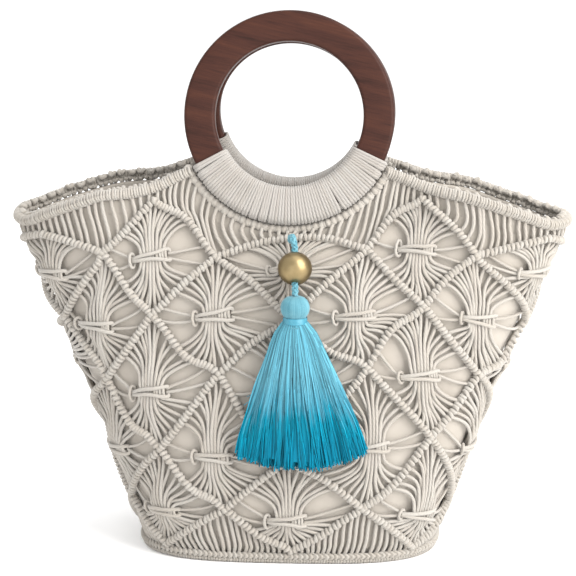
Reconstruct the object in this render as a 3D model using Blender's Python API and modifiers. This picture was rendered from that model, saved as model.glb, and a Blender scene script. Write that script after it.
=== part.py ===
# Macrame tote bag: a knotted cotton net over a cloth lining, two wooden ring
# handles wrapped with cord, and a tassel hung on a brass bead.
# Metres, +Z up, front faces -Y, origin at the middle of the base on the ground.

import functools
import math

import bmesh
import bpy
import numpy as np
from mathutils import Vector

# Bag body, measured on the wall face that the cords lie on
TIP_HALF_WIDTH = 0.191      # centre to side tip, at the rim
BASE_HALF_DEPTH = 0.076     # centre to front, near the base
TIP_RIM_TOP = 0.237         # height of the rim at the side tips
LINING_CLOTH = 0.0015
LINING_DROP = 0.0022        # the lining's hem below the net's top edge
CLEARANCE = 0.0003          # gap between pieces that touch
NET_STAND_OFF = 0.0018      # lining to the back of the cords
CORD_LAYER = 0.0026         # one cotton cord
BAR_HEIGHT = 0.0066         # wall face to the top of a knotted bar
BUNDLE_HEIGHT = 0.0050
KNOT_HEIGHT = 0.0062
NET_EDGE_HEIGHT = 0.0042

# Ring handles
RING_OUTER = 0.0730
RING_INNER = 0.0515
RING_THICKNESS = 0.0115
RING_EDGE = 0.0026
RING_HEIGHT = 0.3056        # height of the front ring's centre
BACK_RING_DROP = 0.0020     # the back handle sags a little lower
RING_HALF_GAP = 0.0187      # centre of each ring in front of or behind the middle
RING_LEAN = math.radians(10.0)
RING_SEGMENTS = 36
WRAP_SEGMENTS = 12          # stretch of the ring under the cord, in ring segments
HITCH_RADIUS = 0.0030       # half thickness of the knotted band under the wrap
HITCH_OUT = 0.0005          # the band's middle outside the ring's plane

# Rim, bottom band and base
RIM_RADIUS = 0.0044
RIM_OUT = 0.0020            # the rim's middle from the wall face
RIM_START, RIM_END = 0.37, 1.63     # shares of the wall, from handle to handle
BOTTOM_RADIUS = 0.0036
BASE_THICKNESS = 0.0030

# Tassel
TASSEL_SIDE = 0.0075        # the tassel hangs a little right of the middle
BEAD_WIDTH = 0.0235
BEAD_HEIGHT = 0.0205
BEAD_MIDDLE = (0.0068, -0.0680, 0.2070)
CORD_RADIUS = 0.0022
HEAD_TOP = 0.1895
HEAD_WIDTH = 0.0200
HEAD_HEIGHT = 0.0140
NECK_WIDTH = 0.0140
NECK_HEIGHT = 0.0050
BINDING_THREAD = 0.0012
SKIRT_WIDTH = 0.0890
SKIRT_LENGTH = 0.0985
SKIRT_DEPTH = 0.0150
SKIRT_LEAN = 0.0055         # the hem's middle lies this far right of the head
HEM_RISE = 0.0150           # how much higher the hem's two ends are
SKIRT_LOCKS = 12

WALL_COLUMNS = 48
NET_COLUMNS = 16            # half diamonds round the bag
EDGE_STEPS = 3              # points of the net's edge between two half columns
FACET_SAG = 0.00110         # largest gap between a facet of the net and the wall
NORMAL_STEP = 0.004         # share of the wall over which its direction is taken
FRONT, BACK = -1, 1

# The handles draw the wall in: half widths and rim shares where that fades
PULL_FROM, PULL_TO = 0.078, 0.140
PULL_LOW, PULL_HIGH = 0.76, 1.00

# Body sections: height share of the tip rim, half width share of the tips,
# half depth share of the base, squareness of the outline
BODY_SECTIONS = (
    (0.000, 0.524, 0.921, 3.2),
    (0.084, 0.555, 0.974, 3.2),
    (0.169, 0.592, 1.000, 3.1),
    (0.338, 0.670, 0.987, 3.0),
    (0.506, 0.754, 0.934, 2.8),
    (0.675, 0.848, 0.829, 2.6),
    (0.844, 0.942, 0.711, 2.5),
    (0.962, 1.000, 0.645, 2.4),
    (1.160, 1.020, 0.592, 2.4),
)

# Levels of the lining's wall, as shares of its height
LINING_LEVELS = (0.00, 0.20, 0.40, 0.58, 0.72, 0.82, 0.90, 0.96, 1.00)

# Knot columns, centre to tip: column, share of a quarter at the base, at the rim
COLUMN_SHARES = (
    (0, 0.000, 0.000),
    (1, 0.295, 0.247),
    (2, 0.560, 0.460),
    (3, 0.780, 0.645),
    (4, 1.000, 1.000),
)
SPREAD_FROM, SPREAD_TO = 0.21, 0.90     # heights of that change, as rim shares

# Knot rows: height share of the tip rim, top row to bottom row
ROW_HEIGHTS = (0.894, 0.730, 0.561, 0.352, 0.161, 0.042)
# The topmost knots, by column: under the handle, at the shoulder and at the tip
TOP_KNOTS = {0: 0.937, 2: 1.050, 4: 0.935}

# Rim: share of a quarter of the wall, height of its top as a share of the tip rim
RIM_LINE = (
    (0.30, 1.152),
    (0.37, 1.133),
    (0.45, 1.108),
    (0.59, 1.084),
    (0.75, 1.040),
    (0.90, 1.002),
    (1.00, 1.000),
)

# One half of a diamond of net: place across and down, as shares of the half
# diamond, and the height of the cords there
HALF_DIAMOND = {
    "top": (0.00, -1.00, BAR_HEIGHT),
    "upper bar": (0.50, -0.50, BAR_HEIGHT),
    "side": (1.00, 0.00, BAR_HEIGHT),
    "lower bar": (0.50, 0.50, BAR_HEIGHT),
    "bottom": (0.00, 1.00, BAR_HEIGHT),
    "top edge": (0.00, -0.82, NET_EDGE_HEIGHT),
    "upper edge": (0.41, -0.41, NET_EDGE_HEIGHT),
    "side edge": (0.82, 0.00, NET_EDGE_HEIGHT),
    "lower edge": (0.41, 0.41, NET_EDGE_HEIGHT),
    "bottom edge": (0.00, 0.82, NET_EDGE_HEIGHT),
    "upper bundle": (0.00, -0.40, BUNDLE_HEIGHT),
    "knot": (0.00, 0.00, KNOT_HEIGHT),
    "lower bundle": (0.00, 0.40, BUNDLE_HEIGHT),
    "knot side": (0.24, 0.00, NET_EDGE_HEIGHT),
}
HALF_DIAMOND_FACES = (
    ("top", "upper bar", "upper edge", "top edge"),
    ("upper bar", "side", "side edge", "upper edge"),
    ("side", "lower bar", "lower edge", "side edge"),
    ("lower bar", "bottom", "bottom edge", "lower edge"),
    ("top edge", "upper edge", "knot side", "upper bundle"),
    ("upper bundle", "knot side", "knot"),
    ("knot", "knot side", "lower bundle"),
    ("lower bundle", "knot side", "lower edge", "bottom edge"),
)

# The cord from the net's top knot to the bead: side, depth and height
CORD_START = (
    (0.0010, -0.0478, 0.2222),
    (0.0020, -0.0530, 0.2262),
    (0.0040, -0.0600, 0.2254),
)

# Tassel head: share of the head's height down, share of its width
HEAD_SECTIONS = ((0.00, 0.40), (0.07, 0.72), (0.28, 0.96), (0.62, 1.00), (0.98, 0.86))

# Tassel skirt: share of its length down, width share, depth share, lock depth share
SKIRT_SECTIONS = (
    (0.08, 0.32, 1.00, 0.05),
    (0.25, 0.52, 0.95, 0.08),
    (0.50, 0.76, 0.80, 0.12),
    (0.76, 0.93, 0.66, 0.16),
    (1.00, 1.00, 0.56, 0.22),
)


def clear_scene():
    for item in list(bpy.data.objects):
        bpy.data.objects.remove(item, do_unlink=True)


def make_material(name, colour, roughness, metallic=0.0):
    material = bpy.data.materials.new(name)
    material.use_nodes = True
    shader = material.node_tree.nodes["Principled BSDF"]
    shader.inputs["Base Color"].default_value = (*colour, 1.0)
    shader.inputs["Roughness"].default_value = roughness
    shader.inputs["Metallic"].default_value = metallic
    return material


def place(item, collection, material):
    item.data.materials.append(material)
    for owner in list(item.users_collection):
        owner.objects.unlink(item)
    collection.objects.link(item)
    return item


def mesh_object(name, points, faces, collection, material):
    """A closed mesh from points and faces, with its faces turned outwards."""
    mesh = bpy.data.meshes.new(name)
    mesh.from_pydata([tuple(point) for point in points], [], faces)
    bm = bmesh.new()
    bm.from_mesh(mesh)
    bmesh.ops.recalc_face_normals(bm, faces=bm.faces)
    bmesh.ops.triangulate(bm, faces=bm.faces)
    bm.to_mesh(mesh)
    bm.free()
    mesh.shade_smooth()
    mesh.set_sharp_from_angle(angle=math.radians(40))
    return place(bpy.data.objects.new(name, mesh), collection, material)


def tube_object(name, points, radius, cyclic, collection, material):
    """A round cord or bar along a line of points."""
    curve = bpy.data.curves.new(name, "CURVE")
    curve.dimensions = "3D"
    curve.bevel_depth = radius
    curve.bevel_resolution = 2
    curve.use_fill_caps = not cyclic
    spline = curve.splines.new("POLY")
    spline.points.add(len(points) - 1)
    for slot, point in zip(spline.points, points):
        slot.co = (*point, 1.0)
    spline.use_cyclic_u = cyclic
    return place(bpy.data.objects.new(name, curve), collection, material)


def smooth_step(value, low, high):
    share = min(max((value - low) / (high - low), 0.0), 1.0)
    return share * share * (3.0 - 2.0 * share)


def smooth_table(rows, column, value):
    """Reads a column of a table with a smooth curve through its rows."""
    places = np.array([row[0] for row in rows])
    values = np.array([row[column] for row in rows])
    slopes = np.gradient(values, places)
    value = min(max(value, places[0]), places[-1])
    index = int(min(max(np.searchsorted(places, value) - 1, 0), len(rows) - 2))
    step = places[index + 1] - places[index]
    t = (value - places[index]) / step
    return float(
        (2 * t**3 - 3 * t**2 + 1) * values[index]
        + (t**3 - 2 * t**2 + t) * step * slopes[index]
        + (3 * t**2 - 2 * t**3) * values[index + 1]
        + (t**3 - t**2) * step * slopes[index + 1]
    )


def section_at(height):
    share = height / TIP_RIM_TOP
    half_width = TIP_HALF_WIDTH * smooth_table(BODY_SECTIONS, 1, share)
    half_depth = BASE_HALF_DEPTH * smooth_table(BODY_SECTIONS, 2, share)
    return half_width, half_depth, smooth_table(BODY_SECTIONS, 3, share)


@functools.lru_cache(maxsize=None)
def quarter_outline(height):
    """Centre of the front to the tip: x, y and length along the outline."""
    half_width, half_depth, power = section_at(height)
    angles = np.linspace(0.0, math.pi / 2.0, 160)
    x = half_width * np.sin(angles) ** (2.0 / power)
    y = half_depth * np.cos(angles) ** (2.0 / power)
    length = np.concatenate(([0.0], np.cumsum(np.hypot(np.diff(x), np.diff(y)))))
    return x, y, length


def ring_height(side):
    return RING_HEIGHT if side == FRONT else RING_HEIGHT - BACK_RING_DROP


def ring_plane_depth(side, height):
    """Distance from the middle to a ring's plane at a height."""
    return RING_HALF_GAP + (ring_height(side) - height) * math.tan(RING_LEAN)


def ring_point(side, angle, radius, out=0.0):
    """Point about a ring: the angle is from straight down, out is away from the bag."""
    lean = Vector((0.0, -side * math.sin(RING_LEAN), math.cos(RING_LEAN)))
    away = Vector((0.0, side * math.cos(RING_LEAN), math.sin(RING_LEAN)))
    middle = Vector((0.0, side * RING_HALF_GAP, ring_height(side)))
    across = Vector((math.sin(angle), 0.0, 0.0))
    return middle + (across - lean * math.cos(angle)) * radius + away * out


def flat_wall(share, height):
    """Wall point at a share of the outline: 0 front centre, 1 right tip, 2 back."""
    turn = (share + 2.0) % 4.0 - 2.0
    quarter = abs(turn)
    side = FRONT
    if quarter > 1.0:
        quarter = 2.0 - quarter
        side = BACK
    x_line, y_line, length = quarter_outline(height)
    along = quarter * length[-1]
    x = float(np.interp(along, length, x_line))
    y = float(np.interp(along, length, y_line))
    pull = 1.0 - smooth_step(x, PULL_FROM, PULL_TO)
    pull *= smooth_step(height / TIP_RIM_TOP, PULL_LOW, PULL_HIGH)
    y += (ring_plane_depth(side, height) - y) * pull
    return Vector((math.copysign(x, turn), side * y, height))


def wall_point(share, height, out):
    """Wall point moved out along the level normal of the wall."""
    before = flat_wall(share - NORMAL_STEP, height)
    after = flat_wall(share + NORMAL_STEP, height)
    along = after - before
    normal = Vector((along.y, -along.x, 0.0)).normalized()
    return flat_wall(share, height) + normal * out


def fold_column(column):
    """Column counted from the nearer of front centre and back centre, and its turn."""
    quarter = len(COLUMN_SHARES) - 1
    turn = (column + 2 * quarter) % (4 * quarter) - 2 * quarter
    return min(abs(turn), 2 * quarter - abs(turn)), turn


def column_share(column, height):
    """Share of the outline at a knot column: column 0 is the front centre."""
    near, turn = fold_column(column)
    spread = smooth_step(height / TIP_RIM_TOP, SPREAD_FROM, SPREAD_TO)
    columns = [row[0] for row in COLUMN_SHARES]
    low = np.interp(near, columns, [row[1] for row in COLUMN_SHARES])
    high = np.interp(near, columns, [row[2] for row in COLUMN_SHARES])
    share = float(low + (high - low) * spread)
    if abs(turn) > columns[-1]:
        share = 2.0 - share
    return math.copysign(share, turn)


def rim_top(share):
    """Height of the rim's top at a share of the outline."""
    near = min(abs(share), 2.0 - abs(share))
    return TIP_RIM_TOP * smooth_table(RIM_LINE, 1, near)


def wrap_radius():
    """Outer radius of the cord wound round a ring."""
    return RING_OUTER + CLEARANCE + CORD_LAYER


def hitch_middle():
    """Radius of the knotted band's centre line about the ring's centre."""
    return wrap_radius() + CLEARANCE + HITCH_RADIUS


def wall_top(share):
    """Height of the net's and lining's top edge, under the rim and the handle band."""
    under_rim = rim_top(share) - 2.0 * RIM_RADIUS - 2.0 * CLEARANCE
    side = FRONT if abs(share) <= 1.0 else BACK
    radius = hitch_middle() + HITCH_RADIUS + 2.0 * CLEARANCE
    x = abs(flat_wall(share, under_rim).x)
    if x >= radius:
        return under_rim
    drop = math.sqrt(radius * radius - x * x) * math.cos(RING_LEAN)
    return min(under_rim, ring_height(side) - drop)


def knot_height(column, row):
    """Height of a knot of the net; row -1 is the top row."""
    if row >= 0:
        return TIP_RIM_TOP * ROW_HEIGHTS[row]
    near, _ = fold_column(column)
    top = wall_top(column_share(column, TIP_RIM_TOP))
    return min(TIP_RIM_TOP * TOP_KNOTS[near], top - CORD_LAYER)


def net_corner(bm, lift, column, height, out):
    """A corner of the net on a plain cylinder: its turn holds the column."""
    turn = math.tau * column / NET_COLUMNS
    corner = bm.verts.new((math.sin(turn), -math.cos(turn), height))
    corner[lift] = out
    return corner


def net_point(place, out):
    """Real place of a corner that lies on the plain cylinder."""
    column = NET_COLUMNS * math.atan2(place.x, -place.y) / math.tau
    return wall_point(column_share(column, place.z), place.z, out)


def add_half_diamond(bm, lift, column, row, side):
    middle = knot_height(column, row)
    ends = {-1: knot_height(column, row - 1), 1: knot_height(column, row + 1)}
    corners = {}
    for name, (across, down, out) in HALF_DIAMOND.items():
        end = ends[-1 if down < 0.0 else 1]
        height = middle + (end - middle) * abs(down)
        corners[name] = net_corner(bm, lift, column + side * across, height, out)
    for names in HALF_DIAMOND_FACES:
        bm.faces.new([corners[name] for name in names])


def outer_bar_height(column, rows):
    """Height of the outermost bars, whose knots alternate between two rows."""
    knots = (math.floor(column), math.ceil(column))
    return sum(knot_height(knot, rows[knot % 2]) for knot in knots) / 2.0


def add_edge_strip(bm, lift, rows, edge_height):
    """Cords between the outermost bars and the rim above or the band below."""
    for half in range(2 * NET_COLUMNS):
        near, far = half / 2.0, half / 2.0 + 0.5
        corners = [
            net_corner(bm, lift, near, outer_bar_height(near, rows), BAR_HEIGHT),
            net_corner(bm, lift, far, outer_bar_height(far, rows), BAR_HEIGHT),
        ]
        for column in np.linspace(far, near, EDGE_STEPS + 1):
            edge = edge_height(column)
            corners.append(net_corner(bm, lift, column, edge, NET_EDGE_HEIGHT))
        bm.faces.new(corners)


def net_top(column):
    return wall_top(column_share(column, TIP_RIM_TOP))


def net_bottom(_column):
    return 2.0 * BOTTOM_RADIUS + CLEARANCE


def refine_net(bm, lift):
    """Splits the edges whose facets would stray from the curved wall."""
    for _ in range(3):
        bmesh.ops.triangulate(bm, faces=bm.faces)
        bent = []
        for edge in bm.edges:
            first, last = edge.verts
            middle = net_point((first.co + last.co) / 2.0, 0.0)
            straight = (net_point(first.co, 0.0) + net_point(last.co, 0.0)) / 2.0
            if (middle - straight).length > FACET_SAG:
                bent.append(edge)
        if not bent:
            return
        bmesh.ops.subdivide_edges(bm, edges=bent, cuts=1, use_grid_fill=False)


def make_net(collection, material):
    """The knotted net: diamonds of cord with two openings each, one closed solid."""
    bm = bmesh.new()
    lift = bm.verts.layers.float.new("lift")
    last = len(ROW_HEIGHTS) - 1
    for row in range(last):
        for column in range(row % 2, NET_COLUMNS, 2):
            add_half_diamond(bm, lift, column, row, -1)
            add_half_diamond(bm, lift, column, row, 1)
    add_edge_strip(bm, lift, (-1, 0), net_top)
    add_edge_strip(bm, lift, (last, last - 1), net_bottom)
    bmesh.ops.remove_doubles(bm, verts=bm.verts, dist=0.0001)
    refine_net(bm, lift)
    bmesh.ops.triangulate(bm, faces=bm.faces)
    bm.verts.index_update()
    count = len(bm.verts)
    points = [net_point(vertex.co, vertex[lift]) for vertex in bm.verts]
    points += [net_point(vertex.co, NET_STAND_OFF) for vertex in bm.verts]
    faces = []
    for face in bm.faces:
        corners = [vertex.index for vertex in face.verts]
        faces.append(corners)
        faces.append([corner + count for corner in reversed(corners)])
    for edge in bm.edges:
        if edge.is_boundary:
            first, last = (vertex.index for vertex in edge.verts)
            faces.append((first, last, last + count, first + count))
    bm.free()
    return mesh_object("net_body", points, faces, collection, material)


def loft(sections, closed):
    """Points and faces of a solid through closed sections of equal length."""
    size = len(sections[0])
    points = [point for section in sections for point in section]
    faces = []
    steps = len(sections) if closed else len(sections) - 1
    for step in range(steps):
        here = step * size
        there = (step + 1) % len(sections) * size
        for index in range(size):
            after = (index + 1) % size
            faces.append((here + index, here + after, there + after, there + index))
    if not closed:
        faces.append(tuple(range(size)))
        faces.append(tuple(reversed(range(len(points) - size, len(points)))))
    return points, faces


def wall_shares():
    return [4.0 * index / WALL_COLUMNS - 2.0 for index in range(WALL_COLUMNS)]


def lining_top(share):
    return wall_top(share) - LINING_DROP


def wall_rows(low, out):
    """Rings of wall points from a height up to the lining's hem."""
    rows = []
    for up in LINING_LEVELS:
        heights = [(share, low + (lining_top(share) - low) * up) for share in wall_shares()]
        rows.append([wall_point(share, height, out) for share, height in heights])
    return rows


def make_lining(collection, material):
    """Cloth bag inside the net: up the outside, over the edge, down the inside."""
    floor = BASE_THICKNESS + CLEARANCE
    outside = wall_rows(floor, -CLEARANCE)
    inside = wall_rows(floor + LINING_CLOTH, -CLEARANCE - LINING_CLOTH)
    points, faces = loft(outside + inside[::-1], False)
    return mesh_object("lining", points, faces, collection, material)


def make_base(collection, material):
    """Flat base panel that the bag stands on."""
    sections = []
    for height in (0.0, BASE_THICKNESS):
        sections.append([wall_point(share, height, 0.0) for share in wall_shares()])
    points, faces = loft(sections, False)
    return mesh_object("base_panel", points, faces, collection, material)


def make_bottom_band(collection, material):
    """Knotted band round the foot of the net."""
    out = BOTTOM_RADIUS + CLEARANCE
    points = [wall_point(share, BOTTOM_RADIUS, out) for share in wall_shares()]
    return tube_object("bottom_band", points, BOTTOM_RADIUS, True, collection, material)


def make_rim(name, turn, collection, material):
    """Knotted rim bar from the front handle round one tip to the back handle."""
    points = []
    for share in np.linspace(RIM_START, RIM_END, WALL_COLUMNS // 2 + 1):
        middle = rim_top(share) - RIM_RADIUS
        points.append(wall_point(turn * share, middle, RIM_OUT))
    return tube_object(name, points, RIM_RADIUS, False, collection, material)


def ring_outline(grow):
    """Rounded section of a ring as radius and out pairs, grown all round."""
    radius = RING_EDGE + grow
    half = RING_THICKNESS / 2.0 + grow - radius
    inner = RING_INNER - grow + radius
    outer = RING_OUTER + grow - radius
    outline = []
    for index, (middle, out) in enumerate(
        ((outer, half), (outer, -half), (inner, -half), (inner, half))
    ):
        for step in range(2):
            angle = math.radians(90.0 - 90.0 * index - 90.0 * step)
            place_radius = middle + radius * math.cos(angle)
            outline.append((place_radius, out + radius * math.sin(angle)))
    return outline


def turned_object(name, outline, steps, collection, material):
    """A closed profile of radius and height pairs turned round Z."""
    mesh = bpy.data.meshes.new(name)
    points = [(radius, 0.0, height) for radius, height in outline]
    edges = [(index, (index + 1) % len(points)) for index in range(len(points))]
    mesh.from_pydata(points, edges, [])
    item = place(bpy.data.objects.new(name, mesh), collection, material)
    screw = item.modifiers.new("turn", "SCREW")
    screw.steps = steps
    screw.render_steps = steps
    screw.use_merge_vertices = True
    screw.merge_threshold = 0.00001
    screw.use_smooth_shade = True
    return item


def make_ring(name, side, collection, material):
    """Wooden ring handle, leaning in over the bag's mouth."""
    item = turned_object(name, ring_outline(0.0), RING_SEGMENTS, collection, material)
    item.location = (0.0, side * RING_HALF_GAP, ring_height(side))
    item.rotation_euler = (math.radians(90.0) + side * RING_LEAN, 0.0, 0.0)
    return item


def make_wrap(name, side, collection, material):
    """Cord wound side by side round the lower part of a ring, as one sleeve."""
    step = math.tau / RING_SEGMENTS
    skins = []
    for grow in (CLEARANCE, CLEARANCE + CORD_LAYER):
        skin = []
        for index in range(WRAP_SEGMENTS + 1):
            angle = (index - WRAP_SEGMENTS / 2.0) * step
            outline = ring_outline(grow)
            skin.append([ring_point(side, angle, radius, out) for radius, out in outline])
        skins.append(skin)
    inner, outer = skins
    size = len(inner[0])
    points = []
    faces = []
    for inner_line, outer_line in zip(inner, outer):
        points += inner_line + outer_line
    for index in range(WRAP_SEGMENTS):
        here = 2 * size * index
        there = here + 2 * size
        for corner in range(size):
            after = (corner + 1) % size
            faces.append((here + corner, here + after, there + after, there + corner))
            first, last = here + size + corner, here + size + after
            faces.append((last, first, first + 2 * size, last + 2 * size))
    for end in (0, 2 * size * WRAP_SEGMENTS):
        for corner in range(size):
            after = (corner + 1) % size
            first, last = end + corner, end + after
            faces.append((first, last, last + size, first + size))
    return mesh_object(name, points, faces, collection, material)


def make_hitch_band(name, side, collection, material):
    """Row of knots under the wrapped stretch of a ring."""
    step = math.tau / RING_SEGMENTS / 2.0
    points = []
    for index in range(-WRAP_SEGMENTS, WRAP_SEGMENTS + 1):
        points.append(ring_point(side, index * step, hitch_middle(), HITCH_OUT))
    return tube_object(name, points, HITCH_RADIUS, False, collection, material)


def front_depth(height):
    """Distance from the middle to the top of the knots at the front centre."""
    return -flat_wall(0.0, height).y + BAR_HEIGHT + CLEARANCE


def head_depth():
    return front_depth(HEAD_TOP - HEAD_HEIGHT - NECK_HEIGHT) + HEAD_WIDTH / 2.0


def make_bead(collection, material):
    """Drilled brass bead over the tassel."""
    hole = CORD_RADIUS + CLEARANCE
    pole = math.acos((hole + CORD_RADIUS / 2.0) / (BEAD_WIDTH / 2.0))
    outline = []
    for angle in np.linspace(pole, -pole, 9):
        radius = BEAD_WIDTH / 2.0 * math.cos(angle)
        outline.append((radius, BEAD_HEIGHT / 2.0 * math.sin(angle) / math.sin(pole)))
    outline += [(hole, -BEAD_HEIGHT / 2.0 + CORD_RADIUS / 2.0)]
    outline += [(hole, BEAD_HEIGHT / 2.0 - CORD_RADIUS / 2.0)]
    item = turned_object("tassel_bead", outline, 16, collection, material)
    item.location = BEAD_MIDDLE
    item.rotation_mode = "QUATERNION"
    item.rotation_quaternion = Vector((0.0, 0.0, 1.0)).rotation_difference(-bead_axis())
    return item


def bead_axis():
    """Direction from the bead down to the tassel's head."""
    head = Vector((TASSEL_SIDE, -head_depth(), HEAD_TOP))
    return (head - Vector(BEAD_MIDDLE)).normalized()


def smooth_route(points, steps):
    """A smooth curve through a few chosen points."""
    ends = [points[0] * 2.0 - points[1]] + points + [points[-1] * 2.0 - points[-2]]
    route = []
    for a, b, c, d in zip(ends, ends[1:], ends[2:], ends[3:]):
        for step in range(steps):
            t = step / steps
            bend = (2.0 * a - 5.0 * b + 4.0 * c - d) * t**2 + (3.0 * (b - c) + d - a) * t**3
            route.append((2.0 * b + (c - a) * t + bend) / 2.0)
    return route + [points[-1]]


def make_tassel_cord(collection, material):
    """Cord from the net's top knot over and down through the bead to the head."""
    middle = Vector(BEAD_MIDDLE)
    axis = bead_axis()
    rest = 2.0 * CLEARANCE + CORD_RADIUS * abs(axis.y)
    head = Vector((TASSEL_SIDE, -head_depth(), HEAD_TOP + rest))
    points = [Vector(point) for point in CORD_START]
    points += [middle - axis * BEAD_HEIGHT * 0.62, middle + axis * BEAD_HEIGHT * 0.52, head]
    route = smooth_route(points, 4)
    return tube_object("tassel_cord", route, CORD_RADIUS, False, collection, material)


def make_binding(collection, material):
    """Thread band round the tassel's neck."""
    inner = NECK_WIDTH / 2.0 + CLEARANCE
    outer = inner + BINDING_THREAD
    half = NECK_HEIGHT / 2.0 - CLEARANCE
    edge = BINDING_THREAD / 3.0
    outline = (
        (inner, half),
        (outer - edge, half),
        (outer, half - edge),
        (outer, edge - half),
        (outer - edge, -half),
        (inner, -half),
    )
    item = turned_object("tassel_binding", outline, 16, collection, material)
    item.location = (TASSEL_SIDE, -head_depth(), HEAD_TOP - HEAD_HEIGHT - NECK_HEIGHT / 2.0)
    return item


def round_section(radius, height, count):
    """A level ring of points about the head's axis."""
    points = []
    for index in range(count):
        angle = math.tau * index / count
        side = TASSEL_SIDE + radius * math.cos(angle)
        points.append(Vector((side, radius * math.sin(angle) - head_depth(), height)))
    return points


def skirt_section(down, width, depth, lock, count):
    """A flattened ring of points with a bulge for each lock of threads."""
    top = HEAD_TOP - HEAD_HEIGHT - NECK_HEIGHT
    height = top - SKIRT_LENGTH * down
    half_width = SKIRT_WIDTH / 2.0 * width
    half_depth = SKIRT_DEPTH / 2.0 * depth
    rest = front_depth(height) + half_depth * (1.0 + lock)
    middle = max(rest, head_depth())
    points = []
    for index in range(count):
        angle = math.tau * index / count
        bulge = 1.0 + lock * math.cos(SKIRT_LOCKS * angle)
        across = math.cos(angle)
        side = TASSEL_SIDE + SKIRT_LEAN * down + half_width * across
        rise = HEM_RISE * (down * across) ** 2
        front = half_depth * math.sin(angle) * bulge - middle
        points.append(Vector((side, front, height + rise)))
    return points


def make_tassel(collection, material):
    """Tassel head, neck and skirt of thread locks, one solid."""
    count = 3 * SKIRT_LOCKS
    sections = []
    for down, width in HEAD_SECTIONS:
        height = HEAD_TOP - HEAD_HEIGHT * down
        sections.append(round_section(HEAD_WIDTH / 2.0 * width, height, count))
    for share in (0.0, 1.0):
        height = HEAD_TOP - HEAD_HEIGHT - NECK_HEIGHT * share
        sections.append(round_section(NECK_WIDTH / 2.0, height, count))
    for down, width, depth, lock in SKIRT_SECTIONS:
        sections.append(skirt_section(down, width, depth, lock, count))
    points, faces = loft(sections, False)
    return mesh_object("tassel", points, faces, collection, material)


def main():
    clear_scene()
    collection = bpy.data.collections.new("macrame_tote_bag")
    bpy.context.scene.collection.children.link(collection)
    cotton = make_material("cotton", (0.78, 0.72, 0.63), 0.9)
    cloth = make_material("lining_cloth", (0.66, 0.59, 0.47), 0.95)
    wood = make_material("walnut", (0.12, 0.05, 0.03), 0.45)
    brass = make_material("brass", (0.72, 0.50, 0.25), 0.3, 1.0)
    blue = make_material("blue_cotton", (0.16, 0.52, 0.70), 0.85)
    make_lining(collection, cloth)
    make_base(collection, cotton)
    make_net(collection, cotton)
    make_bottom_band(collection, cotton)
    make_rim("rim_left", -1.0, collection, cotton)
    make_rim("rim_right", 1.0, collection, cotton)
    for name, side in (("front", FRONT), ("back", BACK)):
        make_ring("handle_ring_" + name, side, collection, wood)
        make_wrap("handle_wrap_" + name, side, collection, cotton)
        make_hitch_band("hitch_band_" + name, side, collection, cotton)
    make_tassel_cord(collection, blue)
    make_bead(collection, brass)
    make_tassel(collection, blue)
    make_binding(collection, blue)


main()
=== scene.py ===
# Looks of the macrame tote bag: every visible cord, knot and thread over the solids.
# Metres, +Z up, front faces -Y, in the same frame as the solids.

import math
from collections import defaultdict

import bpy
import numpy as np
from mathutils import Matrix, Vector


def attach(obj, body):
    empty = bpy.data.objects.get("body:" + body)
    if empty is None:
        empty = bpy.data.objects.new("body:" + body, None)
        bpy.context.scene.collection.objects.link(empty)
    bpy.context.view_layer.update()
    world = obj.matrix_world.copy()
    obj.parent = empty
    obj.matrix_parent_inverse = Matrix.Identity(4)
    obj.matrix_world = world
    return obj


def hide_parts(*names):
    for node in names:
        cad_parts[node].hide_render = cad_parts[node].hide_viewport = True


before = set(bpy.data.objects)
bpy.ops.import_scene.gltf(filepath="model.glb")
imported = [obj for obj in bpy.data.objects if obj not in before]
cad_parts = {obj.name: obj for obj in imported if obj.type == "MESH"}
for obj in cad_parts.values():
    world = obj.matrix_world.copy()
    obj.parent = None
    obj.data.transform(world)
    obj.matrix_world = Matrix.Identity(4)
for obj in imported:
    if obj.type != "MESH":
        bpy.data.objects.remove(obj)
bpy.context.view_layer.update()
rng = np.random.default_rng(7)

FRONT, BACK = -1, 1

# Body, as in the solids
TIP_HALF_WIDTH = 0.191
BASE_HALF_DEPTH = 0.076
TIP_RIM_TOP = 0.237
NET_COLUMNS = 16
HALF_ROUND, QUARTER = NET_COLUMNS // 2, NET_COLUMNS // 4
BODY_SECTIONS = np.array((      # height, half width, half depth, power of the corners
    (0.000, 0.524, 0.921, 3.2), (0.084, 0.555, 0.974, 3.2), (0.169, 0.592, 1.000, 3.1),
    (0.338, 0.670, 0.987, 3.0), (0.506, 0.754, 0.934, 2.8), (0.675, 0.848, 0.829, 2.6),
    (0.844, 0.942, 0.711, 2.5), (0.962, 1.000, 0.645, 2.4), (1.160, 1.020, 0.592, 2.4),
))
COLUMN_SHARES = np.array((      # knot column, share of a quarter low down and high up
    (0, 0.000, 0.000), (1, 0.295, 0.247), (2, 0.560, 0.460), (3, 0.780, 0.645),
    (4, 1.000, 1.000),
))
SPREAD_FROM, SPREAD_TO = 0.21, 0.90
PULL_FROM, PULL_TO = 0.078, 0.140
PULL_LOW, PULL_HIGH = 0.76, 1.00
ROW_HEIGHTS = (0.894, 0.730, 0.561, 0.352, 0.161, 0.042)
TOP_KNOTS = {0: 0.937, 2: 1.050, 4: 0.935}
RIM_LINE = np.array((           # share of a quarter, height
    (0.30, 1.152), (0.37, 1.133), (0.45, 1.108), (0.59, 1.084), (0.75, 1.040), (0.90, 1.002),
    (1.00, 1.000),
))
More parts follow.
